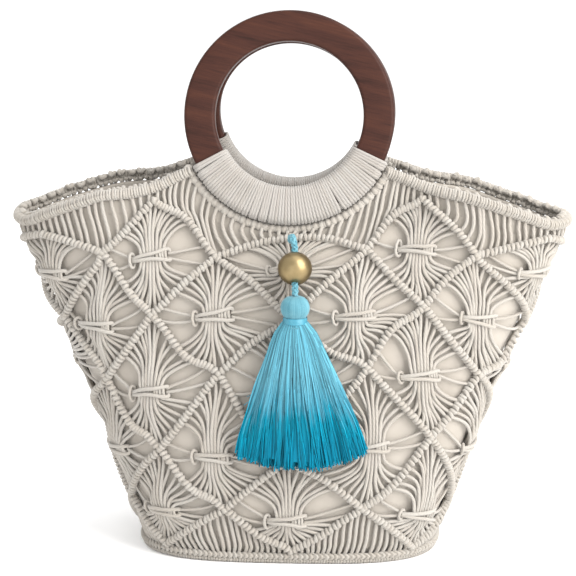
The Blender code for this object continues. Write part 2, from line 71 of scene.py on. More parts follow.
RIM_SHIFTS = np.array((         # how much higher the rim stands: share, metres
    (-1.56, 0.0000), (-1.44, 0.0014), (-1.30, 0.0036), (-1.16, 0.0045), (-1.06, 0.0030),
    (-1.00, 0.0000), (-0.90, -0.0028), (-0.78, -0.0010), (-0.62, 0.0000), (-0.54, -0.0025),
    (-0.42, -0.0028), (-0.32, 0.0000), (0.30, 0.0000), (0.60, -0.0008), (0.75, -0.0016),
    (0.88, -0.0028), (1.00, 0.0000), (1.06, 0.0012), (1.16, 0.0010), (1.30, 0.0000),
))
RIM_RADIUS = 0.0044
RIM_OUT = 0.0020
RIM_START, RIM_END = 0.37, 1.63
BOTTOM_RADIUS = 0.0036
BASE_THICKNESS = 0.0030
BAR_HEIGHT = 0.0066

# Rings, as in the solids
RING_OUTER = 0.0730
RING_INNER = 0.0515
RING_THICKNESS = 0.0115
RING_EDGE = 0.0026
RING_HEIGHT = 0.3056
BACK_RING_DROP = 0.0020
RING_HALF_GAP = 0.0187
RING_LEAN = math.radians(10.0)
WRAP_ANGLES = {             # ends of the wound cord, in degrees from straight down
    FRONT: (-61.5, 64.5),
    BACK: (-71.0, 64.0),
}
HITCH_RADIUS = 0.0030
HITCH_OUT = 0.0005
CLEARANCE = 0.0003

# Cords
CORD = 0.0013               # radius of the cotton cord where it is wound tight
SOFT_CORD = 0.00137         # and where it lies loose
FAN_CORD = 0.00126          # drawn out thin in the fans
TIE_CORD = 0.00108          # and thinnest in the ties of the knots
EDGE_PITCH = 0.0053         # upright cords under the rim
FOOT_PITCH = 0.0043         # and over the foot
FAN_CORDS = 7               # of these, drawn in to the bundle; the last one ties the knot
WRAP_PITCH = 0.0030         # spacing of the wraps along a knotted bar
WRAP_CORD = 0.00148
BAR_HALF_WIDTH = 0.0015     # bar's middle to the middle of its wraps
BAR_MIDDLE = 0.0030         # height of a bar's middle over the wall face
BUNDLE_PITCH = 0.00225      # cords side by side in a bundle
HANDLE_STRANDS = 67         # turns of the handle's cord in this angle
HANDLE_TURN = math.radians(120.0)

# Where single knots lie off the even net: column, row, columns right, millimetres up
KNOT_SHIFTS = (
    (0, -1, 0.05, 1), (-2, -1, 0.06, 0), (2, -1, -0.07, 2), (-4, -1, 0.46, 1), (4, -1, -0.34, 1),
    (-5, 0, 0.45, -6), (-4, 0, 0.47, -15), (4, 0, -0.36, -11), (5, 0, -0.40, -4),
    (-3, 0, 0.10, 0), (-2, 0, 0.00, -2), (-1, 0, 0.02, -3), (0, 0, 0.05, -9),
    (1, 0, 0.09, 3), (2, 0, -0.08, 4), (3, 0, -0.06, 1),
    (-4, 1, 0.50, -8), (-3, 1, 0.00, -10), (-2, 1, 0.00, -2), (-1, 1, 0.02, 0),
    (0, 1, 0.07, -2), (1, 1, 0.00, 1), (2, 1, 0.04, 6), (3, 1, 0.02, -3), (4, 1, -0.20, -9),
    (-3, 2, 0.15, -8), (-2, 2, 0.05, -12), (-1, 2, 0.10, 0), (0, 2, 0.08, -8),
    (1, 2, 0.14, 5), (2, 2, 0.00, 1), (3, 2, 0.08, -3),
    (-3, 3, 0.20, -6), (-2, 3, 0.20, -4), (-1, 3, 0.04, -6), (0, 3, 0.04, -9),
    (1, 3, 0.20, 2), (2, 3, 0.13, 6), (3, 3, 0.30, -5),
    (-3, 4, 0.20, 2), (-2, 4, 0.10, -1), (-1, 4, 0.14, 1), (0, 4, 0.06, -4),
    (1, 4, 0.14, 3), (2, 4, 0.20, -2), (3, 4, 0.25, -3),
    (0, 5, 0.10, 0), (2, 5, 0.15, 0),
)
# How far single bars bow: column to the left, row above, millimetres up at the middle
BAR_BOWS = (
    (-2, -1, 8.0), (1, -1, 8.0), (2, -1, 2.0),
    (-3, 0, -6.0), (-2, 0, 2.0), (-1, 0, 3.0), (0, 0, 2.0), (1, 0, -1.0), (2, 0, 3.0),
    (-3, 1, 0.0), (-2, 1, -8.0), (-1, 1, 4.0), (0, 1, -6.0), (1, 1, 7.5), (2, 1, -1.0), (3, 1, -11.0),
    (-3, 2, -9.0), (-2, 2, -1.0), (-1, 2, -6.0), (0, 2, 1.0), (1, 2, 0.0), (2, 2, -2.0),
    (-3, 3, 0.0), (-2, 3, -9.0), (-1, 3, 0.0), (0, 3, 2.0), (1, 3, -5.0), (2, 3, 0.0),
    (-2, 4, 0.0), (-1, 4, -5.0), (0, 4, -2.0), (1, 4, 1.0),
)
LOOSE_BOW = 3.0             # and the others, either way
KNOT_JITTER_ACROSS = 0.05   # columns
KNOT_JITTER_UP = 0.0016
CENTRE_DROP = 0.0014        # a bundle's knot below the corners beside it
TOP_KNOT_LIFT = 0.0015      # the most that a knot under the rim is moved up

# Tassel, as in the solids
TASSEL_SIDE = 0.0075
BEAD_WIDTH = 0.0235
BEAD_HEIGHT = 0.0218
BEAD_MIDDLE = Vector((0.0068, -0.0680, 0.2070))
BLUE_CORD = 0.0022
HEAD_TOP = 0.1895
HEAD_WIDTH = 0.0200
HEAD_HEIGHT = 0.0140
NECK_WIDTH = 0.0140
NECK_HEIGHT = 0.0050
SKIRT_WIDTH = 0.0890
SKIRT_LENGTH = 0.0985
SKIRT_DEPTH = 0.0150
SKIRT_LEAN = 0.0055
CORD_START = (
    (0.0034, -0.0478, 0.2222),
    (0.0040, -0.0530, 0.2262),
    (0.0052, -0.0600, 0.2250),
)

# Camera of the photograph
CAMERA_TURN = math.radians(3.5)
CAMERA_RISE = math.radians(10.5)
CAMERA_DISTANCE = 1.60
CAMERA_TARGET = Vector((0.0, 0.0, 0.190))
METRES_PER_PIXEL = 0.000711
PHOTO_SIZE = 576
VIEW_SHIFT_RIGHT = -3.0     # pixels
VIEW_SHIFT_UP = -13.2


def smooth_step(value, low, high):
    share = np.clip((value - low) / (high - low), 0.0, 1.0)
    return share * share * (3.0 - 2.0 * share)


def smooth_table(rows, column, value):
    """Reads a column of a table with a smooth curve through its rows."""
    places, values = rows[:, 0], rows[:, column]
    slopes = np.gradient(values, places)
    value = np.clip(value, places[0], places[-1])
    index = np.clip(np.searchsorted(places, value) - 1, 0, len(places) - 2)
    step = places[index + 1] - places[index]
    t = (value - places[index]) / step
    return (
        (2 * t**3 - 3 * t**2 + 1) * values[index]
        + (t**3 - 2 * t**2 + t) * step * slopes[index]
        + (3 * t**2 - 2 * t**3) * values[index + 1]
        + (t**3 - t**2) * step * slopes[index + 1]
    )


def ring_height(side):
    return RING_HEIGHT if side == FRONT else RING_HEIGHT - BACK_RING_DROP


def ring_plane_depth(side, height):
    return RING_HALF_GAP + (ring_height(side) - height) * math.tan(RING_LEAN)


# The wall as a fine grid: outline shares by heights
GRID_SHARES = np.linspace(-2.0, 2.0, 801)
GRID_HEIGHTS = np.linspace(0.0, 0.280, 281)


def wall_grid():
    """X and Y of the wall at each grid height and share of the outline."""
    grid = np.zeros((len(GRID_HEIGHTS), len(GRID_SHARES), 2))
    angles = np.linspace(0.0, math.pi / 2.0, 240)
    quarter = np.minimum(np.abs(GRID_SHARES), 2.0 - np.abs(GRID_SHARES))
    is_back = np.abs(GRID_SHARES) > 1.0
    for row, height in enumerate(GRID_HEIGHTS):
        share = height / TIP_RIM_TOP
        half_width = TIP_HALF_WIDTH * smooth_table(BODY_SECTIONS, 1, share)
        half_depth = BASE_HALF_DEPTH * smooth_table(BODY_SECTIONS, 2, share)
        power = smooth_table(BODY_SECTIONS, 3, share)
        x_line = half_width * np.sin(angles) ** (2.0 / power)
        y_line = half_depth * np.cos(angles) ** (2.0 / power)
        steps = np.hypot(np.diff(x_line), np.diff(y_line))
        length = np.concatenate(([0.0], np.cumsum(steps)))
        x = np.interp(quarter * length[-1], length, x_line)
        y = np.interp(quarter * length[-1], length, y_line)
        pull = 1.0 - smooth_step(x, PULL_FROM, PULL_TO)
        pull *= smooth_step(height / TIP_RIM_TOP, PULL_LOW, PULL_HIGH)
        plane = np.where(is_back, ring_plane_depth(BACK, height), ring_plane_depth(FRONT, height))
        y += (plane - y) * pull
        grid[row, :, 0] = np.copysign(x, GRID_SHARES)
        grid[row, :, 1] = np.where(is_back, y, -y)
    return grid


WALL = wall_grid()


def flat_wall(share, height):
    """Wall points at shares of the outline and heights, as arrays."""
    share = (np.asarray(share, float) + 2.0) % 4.0 - 2.0
    share, height = np.broadcast_arrays(share, np.asarray(height, float))
    a = (share - GRID_SHARES[0]) / (GRID_SHARES[1] - GRID_SHARES[0])
    b = height / (GRID_HEIGHTS[1] - GRID_HEIGHTS[0])
    a0 = np.clip(a.astype(int), 0, len(GRID_SHARES) - 2)
    b0 = np.clip(b.astype(int), 0, len(GRID_HEIGHTS) - 2)
    fa, fb = (a - a0)[..., None], (b - b0)[..., None]
    low = WALL[b0, a0] * (1.0 - fa) + WALL[b0, a0 + 1] * fa
    high = WALL[b0 + 1, a0] * (1.0 - fa) + WALL[b0 + 1, a0 + 1] * fa
    place = low * (1.0 - fb) + high * fb
    return np.concatenate((place, height[..., None]), axis=-1)


def unit(vectors):
    length = np.linalg.norm(vectors, axis=-1, keepdims=True)
    return vectors / np.maximum(length, 1e-12)


SHARE_STEP, HEIGHT_STEP = 0.012, 0.004      # steps that directions are measured over


def wall_directions(share, height):
    """Along the outline, up the wall, and out of it, as unit vectors."""
    along = unit(flat_wall(share + SHARE_STEP, height) - flat_wall(share - SHARE_STEP, height))
    up = unit(flat_wall(share, height + HEIGHT_STEP) - flat_wall(share, height - HEIGHT_STEP))
    return along, up, unit(np.cross(along, up))


def wall_point(share, height, out):
    """Wall points moved straight out of the wall."""
    _, _, normal = wall_directions(share, height)
    return flat_wall(share, height) + normal * np.asarray(out, float)[..., None]


def column_share(column, height):
    """Share of the outline at knot columns: column 0 is the front centre."""
    turn = (np.asarray(column, float) + HALF_ROUND) % NET_COLUMNS - HALF_ROUND
    near = np.minimum(np.abs(turn), HALF_ROUND - np.abs(turn))
    spread = smooth_step(np.asarray(height) / TIP_RIM_TOP, SPREAD_FROM, SPREAD_TO)
    low = np.interp(near, COLUMN_SHARES[:, 0], COLUMN_SHARES[:, 1])
    high = np.interp(near, COLUMN_SHARES[:, 0], COLUMN_SHARES[:, 2])
    share = low + (high - low) * spread
    share = np.where(np.abs(turn) > QUARTER, 2.0 - share, share)
    return np.copysign(share, turn)


def bowed(column, height):
    """Height of a place in the net, moved with the bow of the bar beside it."""
    lines = np.stack([
        np.interp(column, line[:, 0], line[:, 1], period=NET_COLUMNS) for line in ROW_LINES
    ])
    above = np.clip((lines > height).sum(axis=0) - 1, 0, len(lines) - 2)[None]
    upper = np.take_along_axis(lines, above, 0)[0]
    lower = np.take_along_axis(lines, above + 1, 0)[0]
    down = np.clip((upper - height) / (upper - lower), 0.0, 1.0)
    left = np.floor(column).astype(int)
    bow = BOWS[left % NET_COLUMNS, above[0]]
    return height + bow * np.sin(math.pi * (column - left)) * np.sin(math.pi * down)


def net_point(column, height, out):
    column, height = np.broadcast_arrays(np.asarray(column, float), np.asarray(height, float))
    height = bowed(column, height)
    return wall_point(column_share(column, height), height, out)


def rim_top(share):
    near = np.minimum(np.abs(share), 2.0 - np.abs(share))
    rise = np.interp(share, RIM_SHIFTS[:, 0], RIM_SHIFTS[:, 1])
    return TIP_RIM_TOP * smooth_table(RIM_LINE, 1, near) + rise


def hitch_middle():
    return RING_OUTER + CLEARANCE + 2.0 * CORD + CLEARANCE + HITCH_RADIUS


def wall_top(share):
    """Height of the net's top edge, under the rim and the handle bands."""
    share = (np.asarray(share, float) + 2.0) % 4.0 - 2.0
    under_rim = rim_top(share) - 2.0 * RIM_RADIUS - 2.0 * CLEARANCE
    radius = hitch_middle() + HITCH_RADIUS + 2.0 * CLEARANCE
    x = np.abs(flat_wall(share, under_rim)[..., 0])
    drop = np.sqrt(np.maximum(radius * radius - x * x, 0.0)) * math.cos(RING_LEAN)
    middle = np.where(np.abs(share) <= 1.0, ring_height(FRONT), ring_height(BACK))
    return np.where(x < radius, np.minimum(under_rim, middle - drop), under_rim)


def ring_point(side, angle, radius, out):
    """Points about a ring: angle from straight down, out is away from the bag."""
    angle, radius, out = np.broadcast_arrays(angle, radius, out)
    lean = np.array((0.0, -side * math.sin(RING_LEAN), math.cos(RING_LEAN)))
    away = np.array((0.0, side * math.cos(RING_LEAN), math.sin(RING_LEAN)))
    middle = np.array((0.0, side * RING_HALF_GAP, ring_height(side)))
    across = np.array((1.0, 0.0, 0.0))
    reach = np.sin(angle)[..., None] * across - np.cos(angle)[..., None] * lean
    return middle + reach * radius[..., None] + away * out[..., None]


# Knots of the net, with their shifts and a little unevenness
def make_knots():
    shifts = {}
    for column, row, across, up in KNOT_SHIFTS:
        shifts[(column % NET_COLUMNS, row)] = (across, up / 1000.0)
    knots = {}
    for row in range(-1, len(ROW_HEIGHTS)):
        for column in range(NET_COLUMNS):
            near = min(column, NET_COLUMNS - column)
            near = min(near, HALF_ROUND - near)
            if row >= 0:
                height = TIP_RIM_TOP * ROW_HEIGHTS[row]
            elif near in TOP_KNOTS:
                share = column_share(column, TIP_RIM_TOP)
                top = float(wall_top(share)) - 2.0 * CORD
                height = min(TIP_RIM_TOP * TOP_KNOTS[near], top)
            else:
                continue
            across = rng.uniform(-KNOT_JITTER_ACROSS, KNOT_JITTER_ACROSS)
            up = rng.uniform(-KNOT_JITTER_UP, KNOT_JITTER_UP)
            across, up = shifts.get((column, row), (across, up))
            if row < 0:
                up = min(up, TOP_KNOT_LIFT)
            if row == len(ROW_HEIGHTS) - 1:
                up = max(up, 0.0)
            drop = 0.0 if (column + row) % 2 else CENTRE_DROP
            knots[(column, row)] = (across, height + up - drop)
    return knots


KNOTS = make_knots()


def knot(column, row):
    """Column and height of a knot, counted on from the column that is asked."""
    across, height = KNOTS[(column % NET_COLUMNS, row)]
    return np.array((column + across, height))


def row_lines():
    """For each row of knots, their columns and heights."""
    lines = []
    for row in range(-1, len(ROW_HEIGHTS)):
        columns = [column for column in range(NET_COLUMNS) if (column, row) in KNOTS]
        lines.append(np.array([knot(column, row) for column in columns]))
    return lines


def make_bows():
    """Bow of each bar, by the column to its left and the row above it."""
    bows = rng.uniform(-LOOSE_BOW, LOOSE_BOW, (NET_COLUMNS, len(ROW_HEIGHTS)))
    for column, row, up in BAR_BOWS:
        bows[column % NET_COLUMNS, row + 1] = up
    return bows / 1000.0


ROW_LINES = row_lines()
BOWS = make_bows()


def round_turns(count):
    """Even angles once round a circle."""
    return np.linspace(0.0, math.tau, count + 1)[:-1]


def round_shares(count):
    """Even shares once round the bag."""
    return np.linspace(-2.0, 2.0, count + 1)[:-1]


def walked(lines):
    """Distance along lines of points, up to each point."""
    steps = np.linalg.norm(np.diff(lines, axis=-2), axis=-1)
    return np.concatenate((np.zeros_like(steps[..., :1]), np.cumsum(steps, axis=-1)), axis=-1)


def line_length(line):
    return float(np.linalg.norm(np.diff(line, axis=0), axis=-1).sum())


def grid_faces(rows, columns, closed=True):
    """Faces between neighbours in a grid of points, whose rows are rings."""
    row, column = np.meshgrid(
        np.arange(rows if closed else rows - 1), np.arange(columns), indexing="ij"
    )
    ahead, after = (row + 1) % rows, (column + 1) % columns
    corners = ((row, column), (row, after), (ahead, after), (ahead, column))
    return np.stack([up * columns + across for up, across in corners], axis=-1).reshape(-1, 4)


FLIPPED = (0, 3, 2, 1)      # order of a face's corners that turns it over


def mesh_piece(name, points, faces, uv=None, tone=None):
    """A smooth mesh from arrays of points, four-cornered faces and face corner UVs."""
    mesh = bpy.data.meshes.new(name)
    mesh.vertices.add(points.size // 3)
    mesh.vertices.foreach_set("co", np.ascontiguousarray(points, np.float32).ravel())
    mesh.loops.add(faces.size)
    mesh.loops.foreach_set("vertex_index", faces.astype(np.int32).ravel())
    mesh.polygons.add(len(faces))
    starts = np.arange(len(faces), dtype=np.int32) * faces.shape[1]
    mesh.polygons.foreach_set("loop_start", starts)
    mesh.polygons.foreach_set("use_smooth", np.ones(len(faces), bool))
    if uv is not None:
        layer = mesh.uv_layers.new(name="UVMap")
        layer.uv.foreach_set("vector", uv.astype(np.float32).ravel())
    if tone is not None:
        attribute = mesh.attributes.new("tone", "FLOAT", "POINT")
        attribute.data.foreach_set("value", tone.astype(np.float32).ravel())
    mesh.update(calc_edges=True)
    mesh.validate()
    item = bpy.data.objects.new(name, mesh)
    bpy.context.scene.collection.objects.link(item)
    return item


def finish_piece(piece, material, slot, *nodes):
    piece.data.materials.append(material)
    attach(piece, "root")
    if nodes:
        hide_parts(*nodes)
    return piece


def cord_piece(name, parts, material, slot, *nodes):
    """One mesh of several sets of tubes."""
    offsets = np.cumsum([0] + [len(part[0]) for part in parts])
    points, faces, uvs, tones = zip(*parts)
    faces = [some + offset for some, offset in zip(faces, offsets)]
    arrays = (np.concatenate(some) for some in (points, faces, uvs, tones))
    return finish_piece(mesh_piece(name, *arrays), material, slot, *nodes)


def path_frames(paths, closed):
    """Two directions across each path, carried along it without twist."""
    if closed:
        tangents = unit(np.roll(paths, -1, axis=1) - np.roll(paths, 1, axis=1))
    else:
        tangents = unit(np.gradient(paths, axis=1))
    first = tangents[:, 0]
    helper = np.where(np.abs(first[:, 2:3]) < 0.9, (0.0, 0.0, 1.0), (1.0, 0.0, 0.0))
    normals = np.zeros_like(paths)
    normals[:, 0] = unit(np.cross(first, helper))
    for index in range(1, paths.shape[1]):
        along = tangents[:, index]
        carried = normals[:, index - 1]
        carried = carried - along * np.sum(carried * along, axis=-1, keepdims=True)
        normals[:, index] = unit(carried)
    return normals, np.cross(tangents, normals)


def tube_arrays(paths, radius, sides, closed=False, tones=None):
    """Points, faces, UVs and tones of many equal tubes along the paths."""
    count, steps, _ = paths.shape
    normals, sideways = path_frames(paths, closed)
    angles = math.tau * (np.arange(sides) / sides)
    radius = np.broadcast_to(np.asarray(radius, float), (count, steps))[:, :, None, None]
    around = normals[:, :, None] * np.cos(angles)[None, None, :, None]
    around = around + sideways[:, :, None] * np.sin(angles)[None, None, :, None]
    points = paths[:, :, None] + around * radius
    starts = np.arange(count)[:, None, None] * steps * sides
    faces = (starts + grid_faces(steps, sides, closed)).reshape(-1, 4)
    ends = walked(np.concatenate((paths, paths[:, :1]), axis=1) if closed else paths) * 100.0
    here, there = (np.repeat(part, sides, axis=1) for part in (ends[:, :-1], ends[:, 1:]))
    left, right = (
        np.broadcast_to(np.tile((np.arange(sides) + shift) / sides, ends.shape[1] - 1), here.shape)
        for shift in (0, 1)
    )
    uv = np.stack((left, here, right, here, right, there, left, there), axis=-1).reshape(-1, 2)
    tones = rng.random(count) if tones is None else tones
    return points.reshape(-1, 3), faces, uv, np.repeat(tones, steps * sides)


def smooth_paths(keys, steps):
    """Smooth curves through key points, for arrays of paths."""
    start = keys[:, :1] * 2.0 - keys[:, 1:2]
    end = keys[:, -1:] * 2.0 - keys[:, -2:-1]
    keys = np.concatenate((start, keys, end), axis=1)
    pieces = []
    for index in range(1, keys.shape[1] - 2):
        a, b, c, d = (keys[:, index + shift][:, None] for shift in (-1, 0, 1, 2))
        t = (np.arange(steps) / steps)[None, :, None]
        bend = (2.0 * a - 5.0 * b + 4.0 * c - d) * t**2 + (3.0 * (b - c) + d - a) * t**3
        pieces.append((2.0 * b + (c - a) * t + bend) / 2.0)
    return np.concatenate(pieces + [keys[:, -2:-1]], axis=1)


# Camera and cords first
def make_camera():
    level = math.cos(CAMERA_RISE)
    away = Vector((
        math.sin(CAMERA_TURN) * level,
        -math.cos(CAMERA_TURN) * level,
        math.sin(CAMERA_RISE),
    ))
    data = bpy.data.cameras.new("camera")
    data.sensor_width = 36.0
    data.lens = data.sensor_width * CAMERA_DISTANCE / METRES_PER_PIXEL / PHOTO_SIZE
    data.shift_x = VIEW_SHIFT_RIGHT / PHOTO_SIZE
    data.shift_y = VIEW_SHIFT_UP / PHOTO_SIZE
    data.clip_end = 20.0
    camera = bpy.data.objects.new("camera", data)
    camera.location = CAMERA_TARGET + away * CAMERA_DISTANCE
    camera.rotation_euler = (-away).to_track_quat("-Z", "Y").to_euler()
    bpy.context.scene.collection.objects.link(camera)
    bpy.context.scene.camera = camera


def front_depth(height):
    """Distance from the middle to the top of the knots at the front centre."""
    return -float(flat_wall(0.0, height)[1]) + BAR_HEIGHT + CLEARANCE


def head_depth():
    return front_depth(HEAD_TOP - HEAD_HEIGHT - NECK_HEIGHT) + HEAD_WIDTH / 2.0


def bead_axis():
    """Direction from the bead down to the tassel's head."""
    head = Vector((TASSEL_SIDE, -head_depth(), HEAD_TOP))
    return (head - BEAD_MIDDLE).normalized()


def blue_route():
    """Centre line of the blue cord, from the net through the bead to the tassel's head."""
    axis = bead_axis()
    rest = 2.0 * CLEARANCE + BLUE_CORD * abs(axis.y)
    head = Vector((TASSEL_SIDE, -head_depth(), HEAD_TOP + rest))
    points = [Vector(point) for point in CORD_START]
    points += [BEAD_MIDDLE - axis * BEAD_HEIGHT * 0.62, BEAD_MIDDLE + axis * BEAD_HEIGHT * 0.52]
    return smooth_paths(np.array([points + [head]]), 8)


# Net: cords and knots
WIDTH_STEP = 0.1            # columns to each side that a width is measured over


def column_width(column, height):
    """Metres round the wall for one column."""
    left = flat_wall(column_share(column - WIDTH_STEP, height), height)
    right = flat_wall(column_share(column + WIDTH_STEP, height), height)
    return float(np.linalg.norm(right - left)) / (2.0 * WIDTH_STEP)


def loose(amount):
    return rng.uniform(-amount, amount)


BUNDLE_OUTS = (0.0046, 0.0022)
FAN_TURN_INNER, FAN_TURN_OUTER = math.radians(84.0), math.radians(14.0)
FAN_STEPS = 7
FAN_FIRST, FAN_LAST = 0.060, 0.620      # shares of a bar that the drawn-in cords leave
FAN_STIFFNESS = (0.36, 0.48)    # how stiffly a cord leaves its bar and its bundle
FAN_ENTRY = (0.26, 0.17)    # where the inner cord joins the bundle, and how much lower the outer
FAN_OUT, FAN_LIFT = 0.0012, 0.0012      # a cord's height at its bar, and its rise after it


def fan_keys(centre, corner, side_corner, side, index, width):
    """Half a cord of a diamond, in a curve from its bar to the bundle."""
    spread = index / (FAN_CORDS - 1.0)
    share = FAN_FIRST + (FAN_LAST - FAN_FIRST) * spread + loose(0.012)
    scale = np.array((width, 1.0))
    start = (corner + (side_corner - corner) * share - centre) * scale
    reach = (corner - centre)[1]
    way = math.copysign(1.0, reach)
    turn = FAN_TURN_INNER + (FAN_TURN_OUTER - FAN_TURN_INNER) * spread + loose(0.12)
    leave = np.array((-side * math.cos(turn), -way * math.sin(turn)))
    across = side * (index // 2 + 0.5) * BUNDLE_PITCH + loose(0.0003)
    entry = np.array((across, reach * (FAN_ENTRY[0] - FAN_ENTRY[1] * spread)))
    gap = float(np.linalg.norm(entry - start))
    first = start + leave * gap * FAN_STIFFNESS[0]
    second = entry + np.array((0.0, (start - entry)[1] * FAN_STIFFNESS[1]))
    layer = BUNDLE_OUTS[index % 2]
    keys = []
    for t in np.linspace(0.0, 1.0, FAN_STEPS):
        place = (
            start * (1.0 - t) ** 3 + first * 3.0 * t * (1.0 - t) ** 2
            + second * 3.0 * t * t * (1.0 - t) + entry * t**3
        )
        out = FAN_OUT + FAN_LIFT * math.sin(math.pi * min(1.0, 1.6 * t)) * (1.0 - t)
        out += (layer - FAN_OUT) * t * t
        keys.append((centre[0] + place[0] / width, centre[1] + place[1], out))
    return keys


def diamond_paths(column, row):
    """Fourteen cords of a diamond, drawn in to its middle and spread again."""
    centre = knot(column, row)
    top, bottom = knot(column, row - 1), knot(column, row + 1)
    width = column_width(centre[0], centre[1])
    paths = []
    for side in (-1, 1):
        side_corner = knot(column + side, row)
        for index in range(FAN_CORDS):
            upper = fan_keys(centre, top, side_corner, side, index, width)
            lower = fan_keys(centre, bottom, side_corner, side, index, width)
            across = side * (index // 2 + 0.5) * BUNDLE_PITCH * 0.92
            middle = (centre[0] + across / width, centre[1], BUNDLE_OUTS[index % 2] - 0.0004)
            paths.append(upper + [middle] + lower[::-1])
    return paths


# The two strands of a knot and its loop in millimetres: right, up, out
KNOT_STRANDS = (
    ((-14.2, 0.4, 3.0), (-9.5, 0.9, 5.4), (-4.0, 1.3, 6.5), (2.0, 1.8, 6.6),
     (7.5, 2.6, 5.6), (11.4, 2.9, 3.6), (11.8, 1.8, 1.6)),
    ((-14.2, -0.5, 3.0), (-9.5, -1.1, 5.4), (-4.0, -1.5, 6.4), (2.0, -2.1, 6.5),
     (7.5, -3.0, 5.6), (11.6, -3.2, 3.6), (12.0, -2.0, 1.6)),
)
LOOP_PLACE = (-14.4, 1.9, 3.7, 3.3, 1.7)    # the loop: right, swing, half height, out, half depth
LADDER = (3.4, 5.3, 7.2, 9.2)           # short cords across the strands, right of the middle
TIE_STARTS = (                          # where the four ties leave the knot
    (-1, 1, -14.6, 0.9),
    (-1, -1, -14.6, -1.0),
    (1, 1, 11.0, 1.0),
    (1, -1, 11.0, -1.2),
)
TIE_SHARES = (0.76, 0.92)   # where they reach their bar, as shares of it
TIE_END_OUT, TIE_SAG = 0.0014, 0.0007


def on_knot(centre, width, turn, places):
    """Places in millimetres about a knot, as column, height and out."""
    keys = []
    for across, up, out in places:
        right = (across * math.cos(turn) - up * math.sin(turn)) / 1000.0
        rise = (across * math.sin(turn) + up * math.cos(turn)) / 1000.0
        keys.append((centre[0] + right / width, centre[1] + rise, out / 1000.0))
    return keys


def tie_path(column, row, centre, width, turn, start):
    """A thin tie from the knot to a bar beside it."""
    side, way, across, up = start
    corner, side_corner = knot(column, row - way), knot(column + side, row)
    share = rng.uniform(*TIE_SHARES)
    place = corner + (side_corner - corner) * share
    first, = on_knot(centre, width, turn, [(across, up, 2.4)])
    last = (*place, TIE_END_OUT)
    keys = []
    for t in (0.0, 0.3, 0.65, 1.0):
        keys.append((
            first[0] + (last[0] - first[0]) * t,
            first[1] + (last[1] - first[1]) * t - TIE_SAG * math.sin(math.pi * t),
            first[2] + (last[2] - first[2]) * t,
        ))
    return keys


def knot_paths(column, row):
    """A square knot over a bundle: two strands, their loop and four ties."""
    centre = knot(column, row)
    width = column_width(centre[0], centre[1])
    turn = loose(math.radians(8.0))
    strands = []
    for strand in KNOT_STRANDS:
        grow = 1.0 + loose(0.35)
        places = [(x, y * grow, out) for x, y, out in strand]
        strands.append(on_knot(centre, width, turn, places))
    right, swing, high, out, deep = LOOP_PLACE
    loop = [
        (right - swing * math.cos(angle), high * math.sin(angle), out + deep * math.cos(angle))
        for angle in round_turns(14)
    ]
    ties = [tie_path(column, row, centre, width, turn, start) for start in TIE_STARTS]
    for across in LADDER:
        across += loose(0.3)
        rung = ((across, 3.0, 3.4), (across, 1.2, 5.2), (across + 0.2, -1.4, 5.2), (across, -3.2, 3.4))
        ties.append(on_knot(centre, width, turn, rung))
    return strands, on_knot(centre, width, turn, loop), ties


def to_wall(keys, steps=3):
    """Smooth paths through keys of column, height and out, laid on the wall."""
    paths = smooth_paths(np.array(keys), steps) if steps > 1 else np.array(keys)
    return net_point(paths[..., 0], paths[..., 1], paths[..., 2])


BAR_OVERLAP = 0.02          # bars run on a little past their crossings
BAR_CORE_OUT, BAR_CORE = 0.0024, 0.0020     # height and radius of the core under the wraps
BAR_SAG = 0.0009
WRAP_HEIGHT = 0.0021        # of a wrap's middle over the bar's
WRAP_SLANTS = (0.0001, 0.0006)      # of even and odd wraps


def bar_wraps(low, high):
    """Half loops of cord over a bar between two places of the net."""
    low, high = low - (high - low) * BAR_OVERLAP, high + (high - low) * BAR_OVERLAP
    line = low + (high - low) * np.linspace(0.0, 1.0, 9)[:, None]
    count = round(line_length(net_point(*line.T, BAR_MIDDLE)) / WRAP_PITCH)
    shares = (np.arange(count) + 0.5) / count + rng.uniform(-0.10, 0.10, count) / count
    places = low + (high - low) * shares[:, None]
    sag = loose(BAR_SAG) * np.sin(math.pi * shares)
    column, height = places[:, 0], places[:, 1] + sag
    here = net_point(column, height, 0.0)
    ahead = places + (high - low) * 0.01
    along = unit(net_point(ahead[:, 0], ahead[:, 1] + sag, 0.0) - here)
    _, _, out = wall_directions(column_share(column, height), height)
    across = unit(np.cross(out, along))
    angles = np.radians(np.linspace(-115.0, 115.0, 8))[None, :, None]
    slants = np.resize(WRAP_SLANTS, count)
    tilt = slants + rng.uniform(-0.0003, 0.0003, count)
    grow = 1.0 + rng.uniform(-0.07, 0.07, count)
    wide = (BAR_HALF_WIDTH * grow)[:, None, None]
    paths = here[:, None] + across[:, None] * wide * np.sin(angles)
    paths = paths + out[:, None] * (BAR_MIDDLE + WRAP_HEIGHT * np.cos(angles))
    return paths + along[:, None] * tilt[:, None, None] * np.sin(angles)


def core_keys(low, high):
    shares = np.linspace(-BAR_OVERLAP, 1.0 + BAR_OVERLAP, 7)[:, None]
    places = low + (high - low) * shares
    return [(column, height, BAR_CORE_OUT) for column, height in places]


